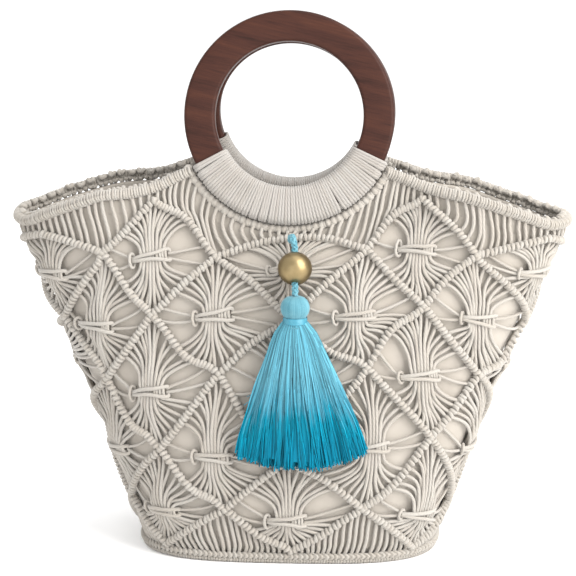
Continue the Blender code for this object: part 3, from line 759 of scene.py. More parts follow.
# How the upright cords lie: column, top right of the bottom and bulge to the right, in mm
TOP_WAVES = np.array((
    (-4.0, -1.0, -1.0), (-3.6, 0.0, 1.5), (-3.1, -3.0, 1.2), (-2.7, -4.5, 0.5),
    (-2.3, -2.0, 1.6), (-1.9, 1.0, 0.3), (-1.6, -1.0, -2.0), (-1.2, -4.0, -4.4),
    (-0.8, -6.0, -4.6), (-0.4, -5.0, -4.0), (0.0, 1.0, 0.0), (0.3, 7.0, 0.5), (0.8, 9.5, 0.6),
    (1.3, 8.0, 0.4), (1.7, 3.0, -1.0), (2.1, 1.0, 1.4), (2.4, 3.0, 2.8), (2.8, 2.0, 2.6),
    (3.1, -3.0, 1.0), (3.4, -4.0, -1.2), (3.7, -3.0, -2.2), (4.0, 0.0, -1.2),
))
FOOT_TOP = 0.0062
FULL_WAVE = 0.022           # height of cord over which a wave is full
TOP_TUCK = 0.0025           # how far the cords run up into the rim
EDGE_OUT, EDGE_LIFT = 0.0014, 0.0008    # their height at the ends, and more in the middle
EDGE_CURL = 0.0005          # of the small double bend in each
FOOT_WAVES = np.array((
    (-4.0, -5.0, 0.5), (-3.0, -6.0, -0.5), (-2.0, -5.0, -0.5), (-1.3, -3.5, -1.5),
    (-0.7, 0.5, 2.0), (0.0, 1.0, 1.0), (0.8, 3.0, 0.0), (1.6, 1.0, 1.5), (2.4, -1.0, 1.0),
    (3.2, 3.0, -1.0), (4.0, 3.0, 0.0),
))


def even_columns(height, pitch):
    """Columns at an even spacing round the wall."""
    fine = np.linspace(-HALF_ROUND, HALF_ROUND, 1281)
    along = walked(net_point(fine, height, 0.0))
    count = round(along[-1] / pitch)
    stops = (np.arange(count) + 0.5 + rng.uniform(-0.12, 0.12, count)) / count
    return np.interp(stops * along[-1], along, fine)


def edge_cords(rows, is_top):
    """Wavy upright cords between the outermost bars and the rim or the foot."""
    table = TOP_WAVES if is_top else FOOT_WAVES
    level = TIP_RIM_TOP * ROW_HEIGHTS[0 if is_top else -2]
    keys = []
    for column in even_columns(level, EDGE_PITCH if is_top else FOOT_PITCH):
        bar = np.array((column, bar_height(column, rows)))
        turned = (column + QUARTER) % HALF_ROUND - QUARTER
        lean = np.interp(turned, table[:, 0], table[:, 1]) / 1000.0 + loose(0.0007)
        bulge = np.interp(turned, table[:, 0], table[:, 2]) / 1000.0 + loose(0.0005)
        width = column_width(column, bar[1])
        if is_top:
            top = float(wall_top(column_share(column, TIP_RIM_TOP))) + 0.0012
            tall = min(1.0, (top - bar[1]) / FULL_WAVE)
            column += lean * tall / width
            top = float(wall_top(column_share(column, TIP_RIM_TOP))) + TOP_TUCK
            low, high = bar, np.array((column, top))
        else:
            tall = min(1.0, (bar[1] - FOOT_TOP) / FULL_WAVE)
            low, high = np.array((column - lean * tall / width, FOOT_TOP)), bar
        cord = []
        for up in (0.0, 0.18, 0.38, 0.62, 0.82, 1.0):
            place = low + (high - low) * up
            bend = bulge * tall * math.sin(math.pi * up) + EDGE_CURL * tall * math.sin(math.tau * up)
            cord.append((
                place[0] + (bend + loose(0.0002)) / width,
                place[1],
                EDGE_OUT + EDGE_LIFT * math.sin(math.pi * up),
            ))
        keys.append(cord)
    return keys


def bar_height(column, rows):
    """Height of the outermost bar at a column, between its two corners."""
    corners = []
    for corner in range(math.floor(column) - 1, math.floor(column) + 3):
        row = rows[0] if (corner + rows[0]) % 2 else rows[1]
        corners.append(knot(corner, row))
    corners = np.array(corners)
    return float(np.interp(column, corners[:, 0], corners[:, 1]))


def is_front(column):
    return math.cos(math.tau * column / NET_COLUMNS) > 0.02


def make_net(cotton):
    """All the cords of the net, as four joined meshes."""
    cords, strands, loops, ties, cores, wraps, edges = (defaultdict(list) for _ in range(7))
    for row in range(len(ROW_HEIGHTS) - 1):
        for column in range(row % 2, NET_COLUMNS, 2):
            front = is_front(column)
            cords[front] += diamond_paths(column, row)
            two, loop, four = knot_paths(column, row)
            strands[front] += two
            loops[front].append(loop)
            ties[front] += four
    for row in range(-1, len(ROW_HEIGHTS) - 1):
        for column in range((row + 1) % 2, NET_COLUMNS, 2):
            for side in (-1, 1):
                high, low = knot(column, row), knot(column + side, row + 1)
                front = is_front(column + side / 2.0)
                wraps[front].append(bar_wraps(low, high))
                cores[front].append(core_keys(low, high))
    for is_top, rows in ((True, (-1, 0)), (False, (4, 5))):
        for keys in edge_cords(rows, is_top):
            edges[is_front(keys[0][0])].append(keys)
    for front, place, stands_for in ((True, "front", ["net_body"]), (False, "back", [])):
        parts = [
            tube_arrays(to_wall(cords[front], 2), FAN_CORD, 6),
            tube_arrays(to_wall(strands[front]), SOFT_CORD, 7),
            tube_arrays(to_wall(loops[front], 1), TIE_CORD, 7, True),
            tube_arrays(to_wall(ties[front]), TIE_CORD, 6),
            tube_arrays(to_wall(edges[front]), SOFT_CORD, 6),
        ]
        cord_piece(f"net_cords_{place}", parts, cotton, "cotton_cord", *stands_for)
        parts = [
            tube_arrays(np.concatenate(wraps[front]), WRAP_CORD, 6),
            tube_arrays(to_wall(cores[front], 1), BAR_CORE, 6),
        ]
        cord_piece(f"net_bars_{place}", parts, cotton, "cotton_cord")


# Rim, foot and handle bands
def band_wraps(frames, radius, tube, tilt, steps=14):
    """Closed loops of cord round a band; frames are its middles, run, up and out."""
    places, along, high, out = frames
    angles = round_turns(steps)[None, :, None]
    grow = (radius * (1.0 + rng.uniform(-0.05, 0.05, len(places))))[:, None, None]
    lean = (tilt + rng.uniform(-0.0004, 0.0004, len(places)))[:, None, None]
    paths = places[:, None] + high[:, None] * grow * np.sin(angles)
    paths = paths + out[:, None] * grow * np.cos(angles)
    paths = paths + along[:, None] * lean * np.cos(angles)
    return tube_arrays(paths, tube, 8 if tube > 0.002 else 6, True)


RIM_BEND = 1.06             # where the front's smooth winding gives way to the back's
RIM_REACH = 0.045           # share of a quarter by which the rim runs on to the handle
RIM_BARS = (                # from, to, turns, drop to its middle, loop, cord, slant, core
    (RIM_START - RIM_REACH, RIM_BEND, 86, 0.0040, 0.0030, 0.00102, 0.0007, 0.0029),
    (RIM_BEND, RIM_END + RIM_REACH, 62, 0.0036, 0.0023, 0.00130, 0.0004, 0.0021),
)
KNOB_ROWS = (               # below the rim's top, in from its bar, loop, cord, pitch, start
    (0.0016, 0.0032, 0.00165, 0.00150, 0.0080, 0.0),
    (0.0064, 0.0026, 0.00090, 0.00125, 0.0040, 0.5),
)
KNOB_LOOP = 0.0016          # size of loop that the next two tell of
KNOB_LIFT = 0.0008
KNOB_TURNS = ((0.5, -0.0009), (-0.9, 0.0009), (1.45, 0.0))      # swing, shift along


def rim_frames(shares, drop):
    """Middle, run, up and out at places along the rim."""
    heights = rim_top(shares) - drop
    places = wall_point(shares, heights, RIM_OUT)
    run = unit(np.gradient(places, axis=0))
    _, _, out = wall_directions(shares, heights)
    return places, run, unit(np.cross(out, run)), out


def rim_knobs(turn):
    """Two rows of round knots on the rim's inner side."""
    parts = []
    line = turn * np.linspace(RIM_START, RIM_END, 400)
    for drop, inward, loop, cord, pitch, start in KNOB_ROWS:
        along = walked(rim_frames(line, drop)[0])
        stops = np.arange(start * pitch, along[-1], pitch)
        stops = stops + rng.uniform(-0.10, 0.10, len(stops)) * pitch
        places, run, high, out = rim_frames(np.interp(stops, along, line), drop)
        size = loop / KNOB_LOOP
        lift = rng.uniform(-KNOB_LIFT, KNOB_LIFT, len(stops))[:, None] * size
        places = places - out * inward + high * lift
        for swing_by, shift in KNOB_TURNS:
            swing = (swing_by + rng.uniform(-0.3, 0.3, len(stops)))[:, None]
            up = high * np.cos(swing) + run * np.sin(swing)
            side = run * np.cos(swing) - high * np.sin(swing)
            frames = (places + run * shift * size, side, up, out)
            parts.append(band_wraps(frames, loop, cord, 0.0, 10))
    return parts


def make_rim(name, turn, cotton):
    """Wound rim bar, smooth outside and knotted inside."""
    parts = []
    for start, end, count, drop, loop, cord, slant, core in RIM_BARS:
        frames = rim_frames(turn * np.linspace(start, end, count), drop)
        parts.append(band_wraps(frames, loop, cord, slant, 11))
        parts.append(tube_arrays(frames[0][None], core, 8))
    parts += rim_knobs(turn)
    cord_piece(name + "_cord", parts, cotton, "cotton_cord", name)


FOOT_ROWS = (               # turns, middle height, loop, cord and slant of each row
    (300, 0.0021, 0.0012, 0.0008, 0.0004),
    (170, 0.0054, 0.0014, 0.0012, 0.0017),
)


def make_bottom_band(cotton):
    """Finely wound band round the foot, with a row of slanted loops over it."""
    parts = []
    for count, middle, loop, cord, slant in FOOT_ROWS:
        shares = round_shares(count)
        places = wall_point(shares, middle, BOTTOM_RADIUS)
        run = unit(np.roll(places, -1, axis=0) - np.roll(places, 1, axis=0))
        _, _, out = wall_directions(shares, middle)
        out[:, 2] = 0.0
        out = unit(out)
        places[:, 2] = middle
        parts.append(band_wraps((places, run, unit(np.cross(out, run)), out), loop, cord, slant, 10))
        parts.append(tube_arrays(places[None], loop, 8, True))
    cord_piece("bottom_knots", parts, cotton, "cotton_cord", "bottom_band")


def ring_section(grow, corner_steps):
    """Rounded section of a ring as radius and out pairs, grown all round."""
    radius = RING_EDGE + grow
    half = RING_THICKNESS / 2.0 + grow - radius
    inner = RING_INNER - grow + radius
    outer = RING_OUTER + grow - radius
    corners = ((outer, half), (outer, -half), (inner, -half), (inner, half))
    outline = []
    for index, (middle, out) in enumerate(corners):
        for step in range(corner_steps + 1):
            angle = math.radians(90.0 - 90.0 * index - 90.0 * step / corner_steps)
            outline.append((middle + radius * math.cos(angle), out + radius * math.sin(angle)))
    return np.array(outline)


def make_ring(name, side, wood):
    """Wooden ring with a finely rounded edge."""
    section = ring_section(0.0, 5)
    angles = round_turns(160)
    points = ring_point(side, angles[:, None], section[None, :, 0], section[None, :, 1])
    faces = grid_faces(len(angles), len(section))
    if side == BACK:
        faces = faces[:, ::-1]
    finish_piece(mesh_piece(name + "_wood", points, faces), wood, "walnut", name)


WOUND_CORD = 0.00142        # fuller, where its turns press on each other
SLEEVE_CORD = 0.0009        # inner turns that close the gaps
WOUND_LOOSE = (0.07, 0.002)     # of a turn at its middle, and its lean in radians
WEDGES = (                  # where two strands part: degrees, half gap, how fast it closes
    (30.0, 0.0170, 4.5), (-26.4, 0.0040, 2.5), (-21.9, 0.0080, 2.2), (-17.3, 0.0075, 2.2),
    (-11.3, 0.0080, 2.2), (-5.0, 0.0040, 2.5), (59.0, 0.0160, 1.6), (54.5, 0.0110, 1.6),
    (-57.0, 0.0110, 1.8), (-52.5, 0.0060, 1.8),
)


def make_handle_wrap(name, side, cotton):
    """Cord wound side by side round the lower part of a ring."""
    section = ring_section(CLEARANCE + CORD, 4)
    start, end = (math.radians(angle) for angle in WRAP_ANGLES[side])
    count = round(HANDLE_STRANDS * (end - start) / HANDLE_TURN)
    place_loose, lean_loose = WOUND_LOOSE
    shares = (np.arange(count) + 0.5 + rng.uniform(-place_loose, place_loose, count)) / count
    angles = start + (end - start) * shares
    outward = (section[None, :, 0] - RING_INNER) / (RING_OUTER - RING_INNER)
    part = np.zeros(count)
    for degrees, half_gap, fade in WEDGES:
        from_gap = np.degrees(angles) - degrees
        part += np.sign(from_gap) * half_gap * np.exp(-np.abs(from_gap) / fade)
    lean = rng.uniform(-lean_loose, lean_loose, count)[:, None] * outward
    lean = lean + part[:, None] * np.clip(outward, 0.0, 1.2) ** 3
    paths = ring_point(side, angles[:, None] + lean, section[None, :, 0], section[None, :, 1])
    squeezed = 0.5 * section[:, 0] * (end - start) / count
    sleeve = ring_section(CLEARANCE * 2.0, 4)
    turns = np.linspace(start, end, 60)[None]
    parts = [
        tube_arrays(paths, np.minimum(WOUND_CORD, squeezed * 1.2), 8, True),
        tube_arrays(ring_point(side, turns, sleeve[:, :1], sleeve[:, 1:]), SLEEVE_CORD, 4),
    ]
    cord_piece(name + "_cord", parts, cotton, "cotton_cord", name)


HITCH_KNOTS = 40
HITCH_END = math.radians(63.5)
HITCH_WRAPS = (             # loop, cord and slant of the knots and of the turns between them
    (0.0012, 0.0021, 0.0007),
    (0.0013, 0.0014, 0.0009),
)
HITCH_CORES = (             # out from the middle of the knots in their radius, out, cord
    (0.0, HITCH_OUT, 0.0018),
    (-1.0, -0.0016, 0.0017),
    (0.8, -0.0016, 0.0014),
)


def make_hitch_band(name, side, cotton):
    """Row of barrel knots where the net hangs from the handle's cord."""
    middle = hitch_middle()
    shares = (np.arange(HITCH_KNOTS) + 0.5 + rng.uniform(-0.08, 0.08, HITCH_KNOTS)) / HITCH_KNOTS
    angles = (shares * 2.0 - 1.0) * HITCH_END
    places = ring_point(side, angles, middle, HITCH_OUT)
    along = unit(ring_point(side, angles + 0.01, middle, HITCH_OUT) - places)
    high = unit(ring_point(side, angles, 1.0, HITCH_OUT) - places)
    out = unit(np.cross(along, high))
    places = places + high * rng.uniform(-0.0002, 0.0002, HITCH_KNOTS)[:, None]
    between = ((places[1:] + places[:-1]) / 2.0, along[1:], high[1:], out[1:])
    parts = [
        band_wraps(frames, *sizes)
        for frames, sizes in zip(((places, along, high, out), between), HITCH_WRAPS)
    ]
    angles = np.linspace(-1.0, 1.0, 40) * HITCH_END
    for shift, out_by, cord in HITCH_CORES:
        core = ring_point(side, angles, middle + HITCH_RADIUS * shift, out_by)[None]
        parts.append(tube_arrays(core, cord, 8))
    cord_piece(name + "_knots", parts, cotton, "cotton_cord", name)


# Lining
LINING_CLOTH = 0.0015
LINING_DROP = {FRONT: -0.0010, BACK: -0.0011}     # its edge below the net's top edge
HEM_HEIGHT = 0.012
HEM_FOLD = 0.0009           # how much further in the hem stands
LINING_FLAT = (0.760, 0.245)     # cut round the bag, and its height
LINING_COLUMNS, LINING_ROWS, HEM_ROWS = 240, 42, 14
FOLD_DEPTH, FLOOR_RIPPLE = 0.0007, 0.0003
FOLDS = (                   # waves round the bag, phase, slope, share of the depth
    (9, 0.4, 1.3, 0.50),
    (14, 2.1, -2.2, 0.35),
    (23, 4.0, 3.1, 0.15),
)


def make_lining(cloth):
    """Cloth bag inside the net, with a folded hem and soft folds."""
    columns, rows = LINING_COLUMNS, LINING_ROWS
    shares = round_shares(columns)
    top = wall_top(shares) - np.where(np.abs(shares) < 1.0, LINING_DROP[FRONT], LINING_DROP[BACK])
    floor = BASE_THICKNESS + CLEARANCE
    up = (np.linspace(0.0, 0.945, rows - HEM_ROWS), np.linspace(0.950, 1.0, HEM_ROWS))
    up = np.concatenate(up)[:, None]
    heights = floor + (top[None, :] - floor) * up
    fold = np.zeros_like(heights)
    for waves, phase, slope, depth in FOLDS:
        fold += depth * np.sin(math.tau * waves * shares / 4.0 + slope * up + phase)
    fold = FOLD_DEPTH * (fold + 1.0) * np.sin(math.pi * up) ** 0.5
    below = top[None, :] - heights
    hem = np.interp(below, (0.0, 0.0006, HEM_HEIGHT - 0.0004, HEM_HEIGHT), (0.0, 0.7, 1.0, 0.0))
    outer = wall_point(shares, heights, -CLEARANCE - fold)
    inner = wall_point(shares, heights, -CLEARANCE - fold - LINING_CLOTH - HEM_FOLD * hem)
    inner[0, :, 2] += LINING_CLOTH
    faces = grid_faces(2 * rows, columns)
    row, column = faces // columns, faces % columns
    v = np.concatenate((heights, heights[::-1]))[row, column] * 100.0
    seam = (np.array((0, 1, 1, 0)) > 0) & (column == 0)
    u = np.where(seam, columns, column) / columns * LINING_FLAT[0] * 100.0
    piece = mesh_piece(
        "lining_cloth", np.concatenate((outer, inner[::-1])), faces,
        np.stack((u, v), axis=-1), np.concatenate((below, below[::-1])),
    )
    finish_piece(piece, cloth, "lining_cloth", "lining")
    lining_floor(cloth)


def lining_floor(cloth):
    """The lining's floor, as a thin panel over the base."""
    rings, columns = 12, 120
    height = BASE_THICKNESS + CLEARANCE + LINING_CLOTH
    edge = wall_point(round_shares(columns), height, -CLEARANCE - LINING_CLOTH * 0.5)
    points = edge[None] * np.linspace(1.0, 0.02, rings)[:, None, None]
    ripple = np.sin(points[..., 0] * 90.0) * np.cos(points[..., 1] * 70.0)
    points[..., 2] = BASE_THICKNESS + CLEARANCE + LINING_CLOTH * 0.8 + FLOOR_RIPPLE * (1.0 + ripple)
    faces = grid_faces(rings, columns, False)
    uv = points.reshape(-1, 3)[faces.ravel()][:, :2] * 100.0
    return finish_piece(mesh_piece("lining_floor", points, faces, uv), cloth, "lining_cloth")


# Tassel
def make_bead(brass):
    """Brass bead with a drilled hole, on the blue cord."""
    hole = BLUE_CORD + CLEARANCE
    pole = math.acos((hole + BLUE_CORD / 2.0) / (BEAD_WIDTH / 2.0))
    angles = np.linspace(pole, -pole, 41)
    radius = np.append(BEAD_WIDTH / 2.0 * np.cos(angles), (hole, hole))
    end = BEAD_HEIGHT / 2.0 - BLUE_CORD / 2.0
    height = np.append(BEAD_HEIGHT / 2.0 * np.sin(angles) / math.sin(pole), (-end, end))
    turns = round_turns(96)
    points = np.stack(np.broadcast_arrays(
        radius[:, None] * np.cos(turns), radius[:, None] * np.sin(turns), height[:, None],
    ), axis=-1)
    faces = grid_faces(len(radius), len(turns))[:, FLIPPED]
    turn = Vector((0.0, 0.0, 1.0)).rotation_difference(-bead_axis()).to_matrix()
    points = points.reshape(-1, 3) @ np.array(turn).T + np.array(BEAD_MIDDLE)
    finish_piece(mesh_piece("bead_brass", points, faces), brass, "brass", "tassel_bead")


CORD_CORE = BLUE_CORD - 0.0009
BRAID_STRANDS = 3           # each way round
BRAID_RADIUS = BLUE_CORD - 0.0008
BRAID_PITCH, BRAID_CORD = 0.0105, 0.00082
BRAID_WEAVE = 0.00030
KNOT_TURNS = ((5, 0.0012), (11, -0.0014), (17, 0.0010))     # loops of the cord's own knot
KNOT_LOOP, KNOT_CORD = BLUE_CORD - 0.0003, 0.0012


def braid_paths(route):
    """Strands wound both ways round a cord's centre line."""
    normals, sideways = path_frames(route, False)
    along = walked(route[0])
    paths = []
    for way, weave_start in ((-1.0, math.pi), (1.0, 0.0)):
        for strand in range(BRAID_STRANDS):
            turn = math.tau * (strand / BRAID_STRANDS + way * along / BRAID_PITCH)
            place = BRAID_RADIUS + BRAID_WEAVE * np.cos(turn * BRAID_STRANDS + weave_start)
            around = normals[0] * np.cos(turn)[:, None] + sideways[0] * np.sin(turn)[:, None]
            paths.append(route[0] + around * place[:, None])
    return np.array(paths)


def make_blue_cord(thread):
    """Braided cord that carries the bead and the tassel."""
    route = blue_route()
    dense = smooth_paths(route, 3)
    dense[:, -1] += np.array(bead_axis()) * 0.0016
    parts = [tube_arrays(dense, CORD_CORE, 12), tube_arrays(braid_paths(dense), BRAID_CORD, 6)]
    angles = round_turns(16)[:, None]
    for step, swing in KNOT_TURNS:
        middle, along = dense[0, step], unit(dense[0, step + 1] - dense[0, step - 1])
        side = unit(np.cross(along, (0.0, 0.0, 1.0)) + np.array((0.01, 0.0, 0.0)))
        across = unit(np.cross(along, side))
        loop = middle + (side * np.cos(angles) + across * np.sin(angles)) * KNOT_LOOP
        loop = loop + along * swing * np.sin(angles + 0.6)
        parts.append(tube_arrays(loop[None], KNOT_CORD, 8, True))
    piece = cord_piece("blue_braid", parts, thread, "blue_cotton", "tassel_cord")
    path = route[0]
    tuple(path[0])


HEAD_PROFILE = np.array((      # down from the top in head heights, width
    (0.00, 0.22), (0.02, 0.42), (0.09, 0.66), (0.26, 0.89), (0.54, 1.00),
    (0.80, 0.93), (1.00, 0.77), (1.34, 0.68), (1.50, 0.80),
))
HEAD_THREADS = 116
HEAD_THREAD = 0.00042


def make_head(thread):
    """Threads folded over into the tassel's round head."""
    down, width = HEAD_PROFILE.T
    paths = []
    for index in range(HEAD_THREADS):
        angle = math.tau * index / HEAD_THREADS + loose(0.012)
        turn = angle + loose(0.02) * down
        radius = HEAD_WIDTH / 2.0 * width - HEAD_THREAD
        x = TASSEL_SIDE + radius * np.cos(turn)
        y = -head_depth() + radius * np.sin(turn)
        paths.append(np.stack((x, y, HEAD_TOP - HEAD_HEIGHT * down), axis=-1))
    parts = [tube_arrays(smooth_paths(np.array(paths), 3), HEAD_THREAD, 4)]
    cord_piece("tassel_head", parts, thread, "blue_cotton")


BINDING_TURNS = 6
BINDING_OUT = 0.0006
BINDING_THREAD = 0.00052


def make_binding(thread):
    """Thread wound round the neck."""
    angles = np.linspace(0.0, math.tau * BINDING_TURNS, 40 * BINDING_TURNS + 1)
    radius = NECK_WIDTH / 2.0 + CLEARANCE + BINDING_OUT
    drop = np.linspace(0.0002, NECK_HEIGHT - 0.0008, len(angles))
    path = np.stack((
        TASSEL_SIDE + radius * np.cos(angles),
        -head_depth() + radius * np.sin(angles),
        HEAD_TOP - HEAD_HEIGHT - drop,
    ), axis=-1)
    parts = [tube_arrays(path[None], BINDING_THREAD, 6)]
    cord_piece("neck_binding", parts, thread, "blue_cotton", "tassel_binding")


SKIRT_TABLE = np.array((       # down as a share of the length, width, depth
    (0.00, 0.190, 0.90), (0.05, 0.280, 1.00), (0.10, 0.345, 1.00), (0.20, 0.437, 0.97),
    (0.30, 0.525, 0.92), (0.40, 0.607, 0.86), (0.50, 0.680, 0.80), (0.65, 0.790, 0.72),
    (0.80, 0.888, 0.64), (1.00, 1.000, 0.56),
))
SKIRT_STRANDS = 1250
SKIRT_STEPS = 14
SKIRT_LOCKS = 64
SKIRT_THREAD = (0.00042, 0.00062)
SKIRT_TUCK = 0.0014         # how far its threads reach up into the neck
LOCK_SWAY, THREAD_SWAY = 0.0012, 0.0006     # spread of the swing to the side at the hem
LOCK_CURL, THREAD_CURL = 0.0007, 0.0006     # depth of the waves on the way down
LOCK_LUMP = 0.0016          # how far a lock stands forward or back
HEM_RISE_LEFT, HEM_RISE_RIGHT = 0.0085, 0.0130
SKIRT_TOP = HEAD_TOP - HEAD_HEIGHT - NECK_HEIGHT


def skirt_sizes(down, across, start):
    """Half width, half depth, height and depth of the net behind, at shares of the length."""
    share = np.clip(down, 0.0, 1.0)
    half_width = SKIRT_WIDTH / 2.0 * smooth_table(SKIRT_TABLE, 1, share)
    half_depth = SKIRT_DEPTH / 2.0 * smooth_table(SKIRT_TABLE, 2, share)
    rise = np.where(across > 0.0, HEM_RISE_RIGHT, HEM_RISE_LEFT)
    z = SKIRT_TOP + start - SKIRT_LENGTH * down + rise * (share * across) ** 2
    net_front = -flat_wall(0.0, z)[..., 1] + BAR_HEIGHT + CLEARANCE
    return half_width, half_depth, z, net_front


def make_skirt(dyed):
    """Fine hanging threads in loose locks, spread out flat over the net."""
    count = SKIRT_STRANDS
    turn = rng.uniform(0.0, math.tau, count)
    lock = np.floor(turn / math.tau * SKIRT_LOCKS).astype(int)
    lock_turn = (lock + 0.5) * math.tau / SKIRT_LOCKS
    outer = np.arange(count) % 3 > 0
    inside = np.where(outer, rng.uniform(0.94, 1.0, count), rng.uniform(0.2, 0.94, count))[:, None]
    down = np.linspace(0.0, 1.0, SKIRT_STEPS)[None, :]
    down = down * np.clip(1.0 + rng.normal(0.0, 0.016, count)[:, None], 0.92, 1.04)
    share = np.clip(down, 0.0, 1.0)
    gather = rng.uniform(-0.05, 0.40, SKIRT_LOCKS)[lock][:, None]
    pull = gather * np.sin(math.pi * share * 0.62)
    turned = turn[:, None] + (lock_turn - turn)[:, None] * pull
    across, facing = np.cos(turned), np.sin(turned)
    lock_sway = rng.normal(0.0, LOCK_SWAY, SKIRT_LOCKS)[lock]
    sway = (lock_sway + rng.normal(0.0, THREAD_SWAY, count))[:, None] * share**1.5
    curl = rng.uniform(0.0, math.tau, SKIRT_LOCKS)[lock][:, None]
    sway = sway + LOCK_CURL * np.sin(down * 8.0 + curl) * share
    wander = rng.uniform(0.0, math.tau, count)[:, None]
    waves = rng.uniform(7.0, 16.0, count)[:, None]
    sway = sway + THREAD_CURL * np.sin(down * waves + wander) * np.sqrt(share)
    half_width, half_depth, z, net_front = skirt_sizes(down, across * inside, SKIRT_TUCK)
    x = TASSEL_SIDE + SKIRT_LEAN * down + half_width * across * inside + sway
    middle = np.maximum(net_front + half_depth * 1.12, head_depth())
    lump = rng.uniform(-LOCK_LUMP, LOCK_LUMP, SKIRT_LOCKS)[lock][:, None] * share
    y = half_depth * facing * inside + lump - middle
    taper = np.interp(down[0], (0.0, 0.9, 1.0), (1.0, 1.0, 0.8))
    radius = rng.uniform(*SKIRT_THREAD, count)[:, None] * taper[None]
    tones = 0.35 * rng.random(SKIRT_LOCKS)[lock] + 0.65 * rng.random(count)
    parts = [
        tube_arrays(np.stack((x, y, z), axis=-1), radius, 3, tones=tones),
        tube_arrays(stray_paths(), STRAY_THREAD, 4),
    ]
    cord_piece("tassel_skirt", parts, dyed, "blue_cotton", "tassel")


# Single threads that stand out: height, right, forward, then right and height of the end, in mm
STRAYS = (
    (-52.0, -25.0, 1.0, -35.0, -57.0),
    (-50.0, -24.0, 1.0, -33.0, -51.0),
    (-90.0, 12.0, 2.0, 16.0, -101.0),
    (-92.0, 24.0, 2.0, 27.0, -97.0),
    (-94.0, -8.0, 2.0, -11.0, -103.0),
)
STRAY_THREAD = 0.00022


def stray_paths():
    paths = []
    for high, right, forward, end, low in STRAYS:
        start = np.array((right, -forward, high)) / 1000.0
        stop = np.array((end, -forward, low)) / 1000.0
        middle = (start + stop) / 2.0 + np.array((0.0, -0.0006, 0.0012))
        paths.append([start, middle, stop])
    neck = np.array((TASSEL_SIDE, -head_depth(), SKIRT_TOP))
    return smooth_paths(np.array(paths) + neck, 5)


def make_filling(dyed):
    """Inner threads as one soft body, so that no light shows through the skirt."""
    rows, columns = 14, 48
    down = np.linspace(0.03, 0.95, rows)[:, None]
    turns = round_turns(columns)[None, :]
    half_width, half_depth, z, net_front = skirt_sizes(down, np.cos(turns), 0.0)
    half_depth = half_depth * 0.74
    x = TASSEL_SIDE + SKIRT_LEAN * down + half_width * 0.90 * np.cos(turns)
    y = half_depth * np.sin(turns) - np.maximum(net_front + half_depth * 1.5, head_depth())
    faces = grid_faces(rows, columns, False)[:, FLIPPED]
    tone = np.full(rows * columns, 0.5)
    piece = mesh_piece("tassel_filling", np.stack((x, y, z), axis=-1), faces, None, tone)
    finish_piece(piece, dyed, "blue_cotton")


# Materials
class Nodes:
    """Short calls to add and join a material's nodes."""

    def __init__(self, name):
        self.material = bpy.data.materials.new(name)
        self.material.use_nodes = True
        self.tree = self.material.node_tree
        self.shader = self.tree.nodes["Principled BSDF"]
        self.place = self.add("ShaderNodeTexCoord").outputs["Object"]

    def add(self, kind, **inputs):
        node = self.tree.nodes.new(kind)
        self.fill(node, inputs)
        return node

    def fill(self, node, inputs):
        """Gives inputs a fixed value or another node's output."""
        for name, value in inputs.items():
            socket = node.inputs[name.replace("_", " ")]
            if isinstance(value, bpy.types.NodeSocket):
                self.tree.links.new(value, socket)
            else:
                socket.default_value = value

    def finish(self, **inputs):
        """Fills the shader's inputs."""
        self.fill(self.shader, inputs)
        return self.material

    def math(self, operation, *values):
        node = self.tree.nodes.new("ShaderNodeMath")
        node.operation = operation
        for socket, value in zip(node.inputs, values):
            if isinstance(value, bpy.types.NodeSocket):
                self.tree.links.new(value, socket)
            else:
                socket.default_value = value
        return node.outputs[0]

    def scaled(self, value, factor, plus=None):
        value = self.math("MULTIPLY", value, factor)
        return value if plus is None else self.math("ADD", value, plus)

    def ramp(self, factor, *stops):
        node = self.add("ShaderNodeValToRGB", Fac=factor)
        elements = node.color_ramp.elements
        while len(elements) < len(stops):
            elements.new(0.5)
        for element, (place, colour) in zip(elements, stops):
            element.position = place
            element.color = (*colour, 1.0)
        return node.outputs["Color"]

    def bump(self, height, distance, strength=1.0, **normal):
        node = self.add("ShaderNodeBump", Height=height, Distance=distance, Strength=strength)
        self.fill(node, normal)
        return node.outputs["Normal"]

    def noise(self, vector, scale, detail=3.0, roughness=0.55):
        node = self.add(
            "ShaderNodeTexNoise", Vector=vector, Scale=scale, Detail=detail, Roughness=roughness,
        )
        return node.outputs["Fac"]

    def uv_parts(self):
        """Round a cord from 0 to 1, and centimetres along it."""
        uv = self.add("ShaderNodeTexCoord").outputs["UV"]
        split = self.add("ShaderNodeSeparateXYZ", Vector=uv)
        return split.outputs["X"], split.outputs["Y"]

    def tone(self):
        node = self.tree.nodes.new("ShaderNodeAttribute")
        node.attribute_name = "tone"
        return node.outputs["Fac"]


def twist(nodes, plies, centimetres):
    """Ridges of a twisted cord, from 0 to 1."""
    around, along = nodes.uv_parts()
    turn = nodes.scaled(around, plies, nodes.math("DIVIDE", along, centimetres / plies))
    return nodes.math("ABSOLUTE", nodes.math("SINE", nodes.scaled(turn, math.tau)))


COTTON_SHADES = ((0.292, 0.262, 0.223), (0.330, 0.302, 0.267), (0.349, 0.328, 0.296))
# the same cotton made darker and a little greyer for the wound handle cord: painted shade
WOUND_PAINTED_SHADE_COLOURS = ((0.262, 0.238, 0.210), (0.297, 0.274, 0.251), (0.314, 0.298, 0.278))


def cotton_material(name, shades):
    """Soft twisted cream cotton cord, with painted shade darkening the grooves of its twist."""
    nodes = Nodes(name)
    ridges_and_groove_shade = twist(nodes, 2.0, 1.6)
    broad = nodes.noise(nodes.place, 14.0)
    fuzz = nodes.noise(nodes.place, 1500.0)
    shade = nodes.scaled(broad, 0.45, nodes.scaled(nodes.tone(), 0.35))
    # the twist's ridges also darken the colour in its grooves: painted shade, on top of the random
    # tone
    shade = nodes.scaled(ridges_and_groove_shade, 0.20, shade)
    fine = nodes.bump(fuzz, 0.00015, 0.6)
    return nodes.finish(
        Base_Color=nodes.ramp(shade, *zip((0.20, 0.50, 0.80), shades)),
        Roughness=0.85, Sheen_Weight=0.25, Sheen_Roughness=0.6,
        Normal=nodes.bump(ridges_and_groove_shade, 0.00025, 0.6, Normal=fine),
    )


